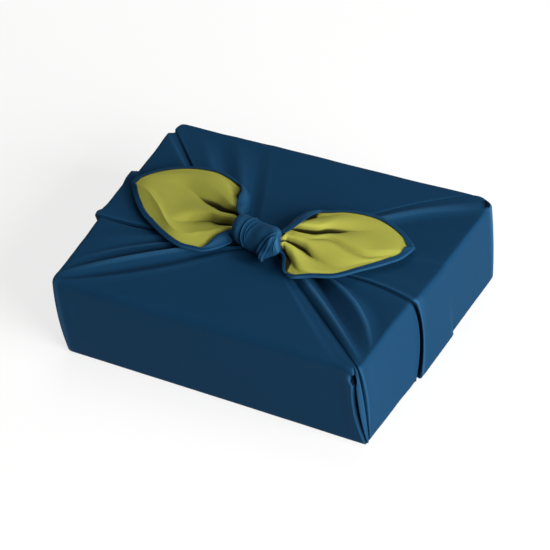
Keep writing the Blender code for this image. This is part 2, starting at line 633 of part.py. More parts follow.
def make_lapel(name, feet, rims, outward, material):
    """Return a lapel: a leaf of doubled cloth that leans in from a free end's edge.

    feet, rims   points along the fold and along the cloth's rim, from the knot outwards
    outward      the horizontal direction that faces away from the free end
    """
    count = len(feet) - 1
    stations = np.arange(count * LAPEL_STEPS + 1) / LAPEL_STEPS
    table = smooth_rows(np.arange(count + 1.0), np.hstack((feet, rims)), stations)
    foot, rim = table[:, :3], table[:, 3:]
    leg = rim - foot
    leg_length = np.linalg.norm(leg, axis=1)[:, None]
    leg = leg / leg_length
    along = np.gradient(foot + rim, axis=0)
    face = np.cross(leg, along)
    face = face / np.linalg.norm(face, axis=1)[:, None]
    face = face * np.sign(face @ (0.0, outward, 1.0))[:, None]
    half = LAPEL_THICKNESS / 2
    columns = []
    for share, side in LAPEL_PROFILE:
        bulge = LAPEL_BULGE * math.sin(math.pi * min(max(share, 0.0), 1.0))
        extra = half * (share - min(max(share, 0.0), 1.0)) * LAPEL_NOSE
        columns.append(foot + leg * (leg_length * min(max(share, 0.0), 1.0) + extra)
                       + face * (bulge + side * half) + (0.0, 0.0, HEIGHT))
    rings = np.stack(columns, axis=1)
    points = rings.reshape(-1, 3)
    sides = len(LAPEL_PROFILE)
    faces = ring_faces(len(rings), sides)
    faces.append(tuple(range(sides)))
    faces.append(tuple(len(points) - sides + index for index in range(sides)))
    return make_object(name, points, faces, material)


def make_free_end(side, ribs, folds, wrap, knot_clearance, navy, green):
    """Add a free end to the wrap and make its lining."""
    grid = end_grid(ribs, folds)
    parts = [make_navy_ply("end_" + side, grid, navy)]
    folded = [rib for rib in ribs if rib.lower_lapel]
    parts.append(make_lapel("lower_lapel_" + side, [rib.lower for rib in folded],
                            [rib.lower_lapel for rib in folded], -1.0, navy))
    parts.append(make_lapel("upper_lapel_" + side, [rib.upper for rib in folded],
                            [rib.upper_lapel for rib in folded], 1.0, navy))
    for part in parts:
        hide_as_cutter(part)
        add_boolean(wrap, part, "UNION")
    lining = make_lining("lining_" + side, grid, green)
    add_boolean(lining, knot_clearance, "DIFFERENCE")


def clear_scene():
    """Remove every object."""
    for thing in list(bpy.data.objects):
        bpy.data.objects.remove(thing, do_unlink=True)


def centre_on(wrap):
    """Shift every mesh so that the middle of the bundle's box stands on the origin."""
    corners = np.array([vertex.co for vertex in wrap.data.vertices])
    middle = (corners.min(axis=0) + corners.max(axis=0)) / 2
    for thing in bpy.data.objects:
        thing.data.transform(Matrix.Translation((-middle[0], -middle[1], 0.0)))


def main():
    """Build the wrap and its two pieces of lining."""
    clear_scene()
    navy = make_material("navy_cloth", (0.02, 0.09, 0.2), 0.75)
    green = make_material("green_cloth", (0.45, 0.46, 0.08), 0.7)
    wrap = make_bundle(navy)
    knot = make_knot("knot", 0.0, navy)
    hide_as_cutter(knot)
    knot_clearance = make_knot("knot_clearance", LINING_CLEAR, navy)
    hide_as_cutter(knot_clearance)
    add_boolean(wrap, knot, "UNION")
    make_free_end("left", LEFT_RIBS, LEFT_FOLDS, wrap, knot_clearance, navy, green)
    make_free_end("right", RIGHT_RIBS, RIGHT_FOLDS, wrap, knot_clearance, navy, green)
    centre_on(wrap)


main()
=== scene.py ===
"""Furoshiki wrap: a square of two-faced cloth tied round a flat gift box.

The navy face is drawn over the box, winds into the square knot on top and backs both free
ends; the green face shows only inside the free ends.  Each visible stretch of cloth is a thin
sheet of its own: the bundle, the knot, and a navy ply and a green lining for each free end.

Frame: +X along the long side, +Y to the back, +Z up, the base on z = 0.
Sizes and tables are in millimetres; meshes, texture coordinates and finishes are in metres.
"""

from __future__ import annotations

import logging
import math
from dataclasses import dataclass
from enum import Enum
from itertools import pairwise
from typing import Any

import bpy
import numpy as np
from mathutils import Matrix, Vector

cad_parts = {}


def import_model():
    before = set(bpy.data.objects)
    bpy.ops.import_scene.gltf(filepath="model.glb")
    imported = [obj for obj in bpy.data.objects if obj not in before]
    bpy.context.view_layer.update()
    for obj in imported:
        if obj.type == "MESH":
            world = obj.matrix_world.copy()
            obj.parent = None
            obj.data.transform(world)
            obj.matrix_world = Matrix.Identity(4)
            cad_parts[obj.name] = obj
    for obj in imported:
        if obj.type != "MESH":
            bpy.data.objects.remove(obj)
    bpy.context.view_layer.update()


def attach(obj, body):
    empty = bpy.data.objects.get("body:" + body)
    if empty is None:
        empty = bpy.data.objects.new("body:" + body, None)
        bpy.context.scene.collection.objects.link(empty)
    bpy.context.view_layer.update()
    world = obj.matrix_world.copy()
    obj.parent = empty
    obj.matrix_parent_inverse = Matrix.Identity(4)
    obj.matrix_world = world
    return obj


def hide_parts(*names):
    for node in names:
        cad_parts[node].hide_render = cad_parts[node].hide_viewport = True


Array = np.ndarray
MM = 0.001
BODY = "root"
SHIFT = (-0.39, -0.32, 0.0)  # from the tables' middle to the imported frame's, in millimetres
UV_NAME = "cloth"
CREST_NAME = "crest"
MIX_FIRST, MIX_SECOND, MIX_RESULT = 6, 7, 2  # the colour sockets of a Mix node

log = logging.getLogger("furoshiki")


# Numbers ---------------------------------------------------------------------------------
def through_three(values: tuple[Array, Array, Array], share: Array) -> Array:
    """Run a smooth curve through three values.

    Formula: the parabola that meets the values at shares 0, 0.5 and 1.

    Args:
        values: first, middle and last value.
        share: where to read the curve, from 0 to 1.

    Returns:
        The curve's value at each share.
    """
    first, middle, last = values
    return (first * (1.0 - share) * (1.0 - 2.0 * share) + middle * 4.0 * share * (1.0 - share)
            + last * share * (2.0 * share - 1.0))


def smooth_rows(stations: Array, values: Array, wanted: Array) -> Array:
    """Read rows of values on smooth curves through the rows.

    Formula: between two rows a cubic that has their values and, at both ends, the slope of
    the line through the rows on either side.

    Args:
        stations: rising places of the rows.
        values: one row of values for each station.
        wanted: places to read.

    Returns:
        One row of values for each wanted place.
    """
    stations = np.asarray(stations, float)
    values = np.asarray(values, float)
    slopes = np.gradient(values, stations, axis=0)
    slot = np.clip(np.searchsorted(stations, wanted, side="right") - 1, 0, len(stations) - 2)
    span = (stations[slot + 1] - stations[slot])[:, None]
    share = ((wanted - stations[slot]) / span[:, 0])[:, None]
    return ((2 * share**3 - 3 * share**2 + 1) * values[slot]
            + (share**3 - 2 * share**2 + share) * span * slopes[slot]
            + (3 * share**2 - 2 * share**3) * values[slot + 1]
            + (share**3 - share**2) * span * slopes[slot + 1])


def ease(values: Array, start: float, end: float) -> Array:
    """Rise smoothly from 0 to 1 while the values run from start to end (smoothstep)."""
    share = np.clip((values - start) / (end - start), 0.0, 1.0)
    return share * share * (3.0 - 2.0 * share)


def sloped_ease(share: Array, leaving: Array | float, arriving: Array | float) -> Array:
    """Rise from 0 to 1 with a given slope at either end.

    Formula: the cubic through 0 and 1 that has those slopes; with both 0 it is smoothstep.

    Args:
        share: where to read it, from 0 to 1.
        leaving: the slope at 0.
        arriving: the slope at 1.

    Returns:
        The cubic's value at each share.
    """
    return ((leaving + arriving - 2.0) * share**3 + (3.0 - 2.0 * leaving - arriving) * share**2
            + leaving * share)


def unit(vectors: Array) -> Array:
    """Scale vectors on the last axis to length 1."""
    return vectors / np.maximum(np.linalg.norm(vectors, axis=-1, keepdims=True), 1e-9)


def grid_normals(points: Array, closed: bool) -> Array:
    """Work out the normals of a grid of points.

    Formula: the cross product of the steps down the rows and along the columns.

    Args:
        points: rows x columns x 3.
        closed: True if the last column meets the first.

    Returns:
        Unit normals, shaped as the points.
    """
    if closed:
        across = np.roll(points, -1, axis=1) - np.roll(points, 1, axis=1)
    else:
        across = np.gradient(points, axis=1)
    return unit(np.cross(np.gradient(points, axis=0), across))


@dataclass(frozen=True)
class Relief:
    """How a mesh's ridges and hollows are measured.

    Attributes:
        way: steps down and across to the points that a ridge is measured against.
        full: how far a full ridge stands out, in millimetres.
        offsets: steps to the points that a hollow is measured against.
        faint: how hidden a point may be and still count as flat cloth.
    """

    way: tuple[int, int]
    full: float
    offsets: tuple[int, ...]
    faint: float = 0.12

    def read(self, points: Array, closed: bool) -> Array:
        """Tell ridges from hollows.

        Formula: a ridge is how far a point stands out, along its normal, from the mean of two
        points on either side of it, as a share of a full ridge.  A hollow is the share of the
        open sky that the cloth on both sides hides: the mean of the sines by which it rises
        above the point's own plane, across the grid or down it, whichever is more.

        Args:
            points: rows x columns x 3, in millimetres.
            closed: True if the last column meets the first.

        Returns:
            -1 in deep hollows, 0 on flat cloth and 1 on ridges, rows x columns.
        """
        mode = "wrap" if closed else "edge"
        normals = grid_normals(points, closed)
        rows, columns = points.shape[:2]

        def moved(down: int, across: int) -> Array:
            """Read the grid some steps away.

            Args:
                down: steps along the rows.
                across: steps along the columns.

            Returns:
                For each point, the point that many steps from it.
            """
            edge = max(abs(down), abs(across))
            padded = np.pad(points, ((edge, edge), (0, 0), (0, 0)), mode="edge")
            padded = np.pad(padded, ((0, 0), (edge, edge), (0, 0)), mode=mode)
            return padded[edge + down:edge + down + rows, edge + across:edge + across + columns]

        mean = (moved(*self.way) + moved(-self.way[0], -self.way[1])) / 2.0
        ridge = np.clip(np.sum((points - mean) * normals, axis=-1) / self.full, 0.0, 1.0)
        hidden = []
        for down, across in ((1, 0), (-1, 0), (0, 1), (0, -1)):
            sines = [np.sum(unit(moved(down * step, across * step) - points) * normals, axis=-1)
                     for step in self.offsets]
            hidden.append(np.clip(np.max(sines, axis=0), 0.0, 1.0))
        hollow = np.maximum(hidden[0] + hidden[1], hidden[2] + hidden[3]) / 2.0
        return np.where(hollow > self.faint, -hollow, ridge * (1.0 - hollow / self.faint))


# Meshes ----------------------------------------------------------------------------------
@dataclass
class Surface:
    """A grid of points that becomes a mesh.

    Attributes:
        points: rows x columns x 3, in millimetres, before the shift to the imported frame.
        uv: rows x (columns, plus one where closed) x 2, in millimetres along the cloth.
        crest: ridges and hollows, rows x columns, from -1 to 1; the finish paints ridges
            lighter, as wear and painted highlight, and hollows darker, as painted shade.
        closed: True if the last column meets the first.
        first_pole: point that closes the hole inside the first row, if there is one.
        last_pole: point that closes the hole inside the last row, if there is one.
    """

    points: Array
    uv: Array
    crest: Array
    closed: bool = False
    first_pole: Array | None = None
    last_pole: Array | None = None

    def build(self, name: str) -> bpy.types.Object:
        """Make a smooth-shaded object at the origin from the grid.

        Args:
            name: the object's name.

        Returns:
            The new object, linked to the scene.
        """
        rows, columns = self.points.shape[:2]
        steps = columns if self.closed else columns - 1
        row, step = np.meshgrid(np.arange(rows - 1), np.arange(steps), indexing="ij")
        after = (step + 1) % columns
        quads = np.stack((row * columns + step, (row + 1) * columns + step,
                          (row + 1) * columns + after, row * columns + after), axis=-1)
        wide = self.uv.shape[1]
        quad_uv = np.stack((row * wide + step, (row + 1) * wide + step,
                            (row + 1) * wide + step + 1, row * wide + step + 1), axis=-1)
        points = [self.points.reshape(-1, 3)]
        crest = [self.crest.ravel()]
        uv = [self.uv.reshape(-1, 2)]
        corners = [quads.ravel()]
        corner_uv = [quad_uv.ravel()]
        sizes = [np.full(quads.shape[0] * quads.shape[1], 4)]
        index = np.arange(steps)
        for pole, ring, flip in ((self.first_pole, 0, False), (self.last_pole, rows - 1, True)):
            if pole is None:
                continue
            centre = sum(len(block) for block in points)
            centre_uv = sum(len(block) for block in uv)
            points.append(np.asarray(pole, float)[None, :])
            crest.append(np.zeros(1))
            uv.append(self.uv[ring].mean(axis=0)[None, :])
            fan = np.stack((np.full(steps, centre), ring * columns + index,
                            ring * columns + (index + 1) % columns), axis=-1)
            fan_uv = np.stack((np.full(steps, centre_uv), ring * wide + index,
                               ring * wide + index + 1), axis=-1)
            corners.append((fan[:, ::-1] if flip else fan).ravel())
            corner_uv.append((fan_uv[:, ::-1] if flip else fan_uv).ravel())
            sizes.append(np.full(steps, 3))
        return self._fill(name, np.concatenate(points), np.concatenate(crest),
                          np.concatenate(uv)[np.concatenate(corner_uv)],
                          np.concatenate(corners), np.concatenate(sizes))

    @staticmethod
    def _fill(name: str, points: Array, crest: Array, uv: Array, corners: Array,
              sizes: Array) -> bpy.types.Object:
        """Put whole arrays into a new mesh.

        Args:
            name: the object's name.
            points: n x 3, in millimetres.
            crest: n values.
            uv: a pair for each corner, in millimetres.
            corners: the point of each corner.
            sizes: the number of corners of each face.

        Returns:
            The new object, linked to the scene.
        """
        mesh = bpy.data.meshes.new(name)
        mesh.vertices.add(len(points))
        mesh.vertices.foreach_set("co", ((points + SHIFT) * MM).ravel())
        mesh.loops.add(len(corners))
        mesh.loops.foreach_set("vertex_index", corners.astype(np.int32))
        mesh.polygons.add(len(sizes))
        mesh.polygons.foreach_set("loop_start", (np.cumsum(sizes) - sizes).astype(np.int32))
        layer = mesh.uv_layers.new(name=UV_NAME)
        layer.uv.foreach_set("vector", (uv * MM).ravel())
        mesh.update(calc_edges=True)
        attribute = mesh.attributes.new(CREST_NAME, "FLOAT", "POINT")
        attribute.data.foreach_set("value", crest.astype(np.float32))
        mesh.shade_smooth()
        thing = bpy.data.objects.new(name, mesh)
        bpy.context.scene.collection.objects.link(thing)
        return thing


def thicken(thing: bpy.types.Object, thickness: float) -> None:
    """Give a sheet its thickness on the side away from its normals.

    Args:
        thing: the sheet.
        thickness: its thickness, in millimetres.
    """
    modifier = thing.modifiers.new("cloth thickness", "SOLIDIFY")
    modifier.thickness = thickness * MM
    modifier.offset = -1.0
    modifier.use_even_offset = False
    modifier.use_rim = True


# Finishes --------------------------------------------------------------------------------
class Tree:
    """A material's node tree, with one method that adds any node."""

    def __init__(self, material: bpy.types.Material) -> None:
        """Start from a material's empty tree.

        Args:
            material: the material to dress.
        """
        material.use_nodes = True
        self.nodes = material.node_tree.nodes
        self.links = material.node_tree.links
        self.nodes.clear()

    def add(self, kind: str, settings: dict[str, Any] | None = None,
            values: dict[Any, Any] | None = None) -> bpy.types.Node:
        """Add a node.

        Args:
            kind: the node's type.
            settings: properties to set first.
            values: for each socket, by name or number, a plain value or a Value to link.

        Returns:
            The new node.
        """
        node = self.nodes.new(kind)
        for name, setting in (settings or {}).items():
            setattr(node, name, setting)
        for name, value in (values or {}).items():
            if isinstance(value, Value):
                self.links.new(value.socket, node.inputs[name])
            else:
                node.inputs[name].default_value = value
        return node

    def value(self, kind: str, output: Any, settings: dict[str, Any] | None = None,
              values: dict[Any, Any] | None = None) -> Value:
        """Add a node and return one of its outputs as a Value."""
        return Value(self, self.add(kind, settings, values).outputs[output])

    def mix(self, factor: Value, first: Any, second: Any) -> Value:
        """Blend two colours by a factor."""
        node = self.add("ShaderNodeMix", {"data_type": "RGBA"},
                        {"Factor": factor, MIX_FIRST: first, MIX_SECOND: second})
        return Value(self, node.outputs[MIX_RESULT])

    def finish(self, shader: bpy.types.Node) -> None:
        """Send a shader to the material's output."""
        output = self.add("ShaderNodeOutputMaterial")
        self.links.new(shader.outputs[0], output.inputs[0])


@dataclass(frozen=True)
class Value:
    """A number on a shader socket that takes part in plain arithmetic.

    Attributes:
        tree: the node tree that the socket is in.
        socket: the output socket that gives the number.
    """

    tree: Tree
    socket: bpy.types.NodeSocket

    def maths(self, operation: str, *others: Any, swap: bool = False) -> Value:
        """Apply a Math node to this value and up to two others.

        Args:
            operation: the Math node's operation.
            others: further operands, as numbers or Values.
            swap: True to put this value second.

        Returns:
            The result.
        """
        operands = (others[0], self, *others[1:]) if swap else (self, *others)
        return self.tree.value("ShaderNodeMath", 0, {"operation": operation},
                               dict(enumerate(operands)))

    def __add__(self, other: Any) -> Value:
        """Add."""
        return self.maths("ADD", other)

    __radd__ = __add__

    def __sub__(self, other: Any) -> Value:
        """Subtract."""
        return self.maths("SUBTRACT", other)

    def __rsub__(self, other: Any) -> Value:
        """Subtract from a number."""
        return self.maths("SUBTRACT", other, swap=True)

    def __mul__(self, other: Any) -> Value:
        """Multiply."""
        return self.maths("MULTIPLY", other)

    __rmul__ = __mul__

    def sine(self) -> Value:
        """Take the sine."""
        return self.maths("SINE")

    def size(self) -> Value:
        """Drop the sign."""
        return self.maths("ABSOLUTE")

    def clamp(self) -> Value:
        """Keep between 0 and 1."""
        return self.maths("MINIMUM", 1.0).maths("MAXIMUM", 0.0)


@dataclass(frozen=True)
class ClothFinish:
    """A woven finish whose threads run on the bias of the piece's own cloth map.

    Attributes:
        name: the material's name.
        slot: the record's material slot; not used in this script.
        colour: the thread's colour where the cloth lies flat.
        worn_and_lit: the colour of a ridge, partly rubbed wear and partly a painted highlight.
        hollow_shade: the colour that a hollow is darkened to, as painted shade.
        roughness: the middle of the roughness.
        sheen: how much light the nap gives back at a glancing view.
        sheen_tint: the colour of that light.
        specular: strength of the plain reflection.
        core: how hidden a hollow is before its painted shade goes quite dark.
        pitch: the distance from thread to thread, in metres.
        relief: the height of a thread, in metres.
        bias: the angle of the threads to the cloth map, in degrees.
        slubs: patches of slub per metre along a thread and across it.
        patches: patches of dye per metre.
        spread: the darkest and lightest dye as shares of the colour.
        mottle: parts that threads, slubs and patches have in that spread.
        rub_and_light: how far a full ridge takes on that worn and painted-highlight colour.
        soft_hollow: depth at which a hollow's painted shade starts, how fast it grows, and how
            far.
        core_hollow: how fast that painted shade goes quite dark past the core, and how far.
        uneven: how much patches, slubs and ridges change the roughness.
        slub_relief: the height of a slub as a share of a thread's.
        bump: strength of the threads' relief.
        nap: roughness of the sheen.
    """

    name: str
    slot: str
    colour: tuple[float, float, float]
    worn_and_lit: tuple[float, float, float]
    hollow_shade: tuple[float, float, float]
    roughness: float
    sheen: float
    sheen_tint: tuple[float, float, float]
    specular: float
    core: float
    pitch: float
    relief: float
    bias: float = 45.0
    slubs: tuple[float, float] = (60.0, 1600.0)
    patches: float = 22.0
    spread: tuple[float, float] = (0.86, 1.16)
    mottle: tuple[float, float, float] = (0.30, 0.45, 0.25)
    rub_and_light: float = 0.8
    soft_hollow: tuple[float, float, float] = (0.1, 2.0, 0.6)
    core_hollow: tuple[float, float] = (6.0, 0.4)
    uneven: tuple[float, float, float] = (0.08, 0.08, 0.06)
    slub_relief: float = 0.7
    bump: float = 0.5
    nap: float = 0.4

    def material(self) -> bpy.types.Material:
        """Build the cloth's material.

        Formula: across each thread its height follows a half sine; the product of both
        threads' sines says which thread is on top, as in a plain weave.  Slubs are noise
        drawn out along each thread, and the dye varies in broad soft patches.  Ridges are
        painted lighter, partly as wear and partly as a painted highlight, and hollows are
        painted darker as painted shade, in two steps, soft and then quick.

        Returns:
            The material.
        """
        material = bpy.data.materials.new(self.name)
        tree = Tree(material)
        uv = tree.value("ShaderNodeUVMap", 0, {"uv_map": UV_NAME})
        bias = tree.value("ShaderNodeMapping", 0, {"vector_type": "POINT"},
                          {"Vector": uv, "Rotation": (0.0, 0.0, math.radians(self.bias))})
        split = tree.add("ShaderNodeSeparateXYZ", values={0: bias})
        warp = Value(tree, split.outputs[0]) * (math.pi / self.pitch)
        weft = Value(tree, split.outputs[1]) * (math.pi / self.pitch)
        over = warp.sine() * weft.sine() * 0.5 + 0.5
        threads = warp.sine().size() * over + weft.sine().size() * (1.0 - over)
        slubs = (self._noise(tree, bias, self.slubs) * over
                 + self._noise(tree, bias, self.slubs[::-1]) * (1.0 - over))
        patches = self._noise(tree, bias, (self.patches, self.patches))
        crest = tree.value("ShaderNodeAttribute", "Fac", {"attribute_name": CREST_NAME})
        ridge = crest.maths("MAXIMUM", 0.0)
        start, rate, part = self.soft_hollow
        core_rate, core_part = self.core_hollow
        # Painted shade in hollows: soft at first, then quickly dark past the core.
        soft = (crest * -rate - start * rate).clamp()
        core = (crest * -core_rate - self.core * core_rate).clamp()
        hollow = (soft * part + core * core_part).clamp()
        shade = (threads * self.mottle[0] + slubs * self.mottle[1]
                 + patches * self.mottle[2]).clamp()
        dark, light = (tuple(share * channel for channel in self.colour) for share in self.spread)
        colour = tree.mix(shade, (*dark, 1.0), (*light, 1.0))
        # Ridges turn lighter: partly wear, partly a painted highlight.
        worn_and_lit = (ridge * (slubs * 0.5 + 0.5) * self.rub_and_light).clamp()
        colour = tree.mix(worn_and_lit, colour, (*self.worn_and_lit, 1.0))
        # Hollows take the painted shade colour.
        colour = tree.mix(hollow, colour, (*self.hollow_shade, 1.0))
        rough = (patches * self.uneven[0] + slubs * self.uneven[1] - ridge * self.uneven[2]
                 + (self.roughness - self.uneven[0])).clamp()
        relief = threads + slubs * self.slub_relief
        bump = tree.value("ShaderNodeBump", 0, values={
            "Strength": self.bump, "Distance": self.relief, "Height": relief})
        shader = tree.add("ShaderNodeBsdfPrincipled", values={
            "Base Color": colour, "Roughness": rough, "Metallic": 0.0, "Normal": bump,
            "Specular IOR Level": self.specular, "Sheen Weight": self.sheen,
            "Sheen Roughness": self.nap, "Sheen Tint": (*self.sheen_tint, 1.0)})
        tree.finish(shader)
        material.diffuse_color = (*self.colour, 1.0)
        return material

    @staticmethod
    def _noise(tree: Tree, vector: Value, scale: tuple[float, float]) -> Value:
        """Read noise with its own scale along each thread direction.

        Args:
            tree: the material's tree.
            vector: the cloth map turned to the threads.
            scale: patches per metre along each thread direction.

        Returns:
            The noise, from 0 to 1.
        """
        stretched = tree.value("ShaderNodeMapping", 0, {"vector_type": "POINT"},
                               {"Vector": vector, "Scale": (*scale, 1.0)})
        return tree.value("ShaderNodeTexNoise", "Fac", {"noise_dimensions": "2D"},
                          {"Vector": stretched, "Scale": 1.0, "Detail": 2.0})


# The lighter ridge colours are partly wear and partly a painted highlight; the dark hollow colours
# are painted shade.
NAVY = ClothFinish(name="navy cotton", slot="navy_cloth", colour=(0.0031, 0.0232, 0.0545),
                   worn_and_lit=(0.022, 0.085, 0.17), hollow_shade=(0.0003, 0.0016, 0.0050), roughness=0.7,
                   sheen=0.03, sheen_tint=(0.2, 0.5, 1.0), specular=0.03, core=0.42,
                   pitch=0.00046, relief=0.00006)
GREEN = ClothFinish(name="green sateen", slot="green_cloth", colour=(0.222, 0.222, 0.037),
                    worn_and_lit=(0.275, 0.275, 0.058), hollow_shade=(0.012, 0.010, 0.002), roughness=0.6,
                    sheen=0.02, sheen_tint=(1.0, 1.0, 0.5), specular=0.04, core=0.27,
                    pitch=0.00036, relief=0.00004)


# Bundle ----------------------------------------------------------------------------------
class Side(Enum):
    """The box's sides, counter-clockwise from the near right corner."""

    RIGHT = "right"
    BACK = "back"
    LEFT = "left"
    FRONT = "front"


@dataclass(frozen=True)
class Section:
    """One upright half-section of the bundle, from the knot over the rim and down the side.

    Attributes:
        at: place of the section along its side, at the rim, from the side's middle.
        gather: angle on the gathering oval, in degrees, where the section starts.
        rise: height of the cloth above the top, at the rim, half way and at the oval.
        out: how far the cloth stands out from the box, at the rim, mid height and base.
        shift: how far the section has moved along the side at mid height and at the base.
        bow: sideways bow of the section on its way over the top.
        edge: radius of the rim.
        crease: True for a sharp crease, False for a soft fold.
    """

    at: float
    gather: float
    rise: tuple[float, float, float] = (0.0, 0.0, 0.0)
    out: tuple[float, float, float] = (0.0, 0.0, 0.0)
    shift: tuple[float, float] = (0.0, 0.0)
    bow: float = 0.0
    edge: float = 4.0
    crease: bool = False


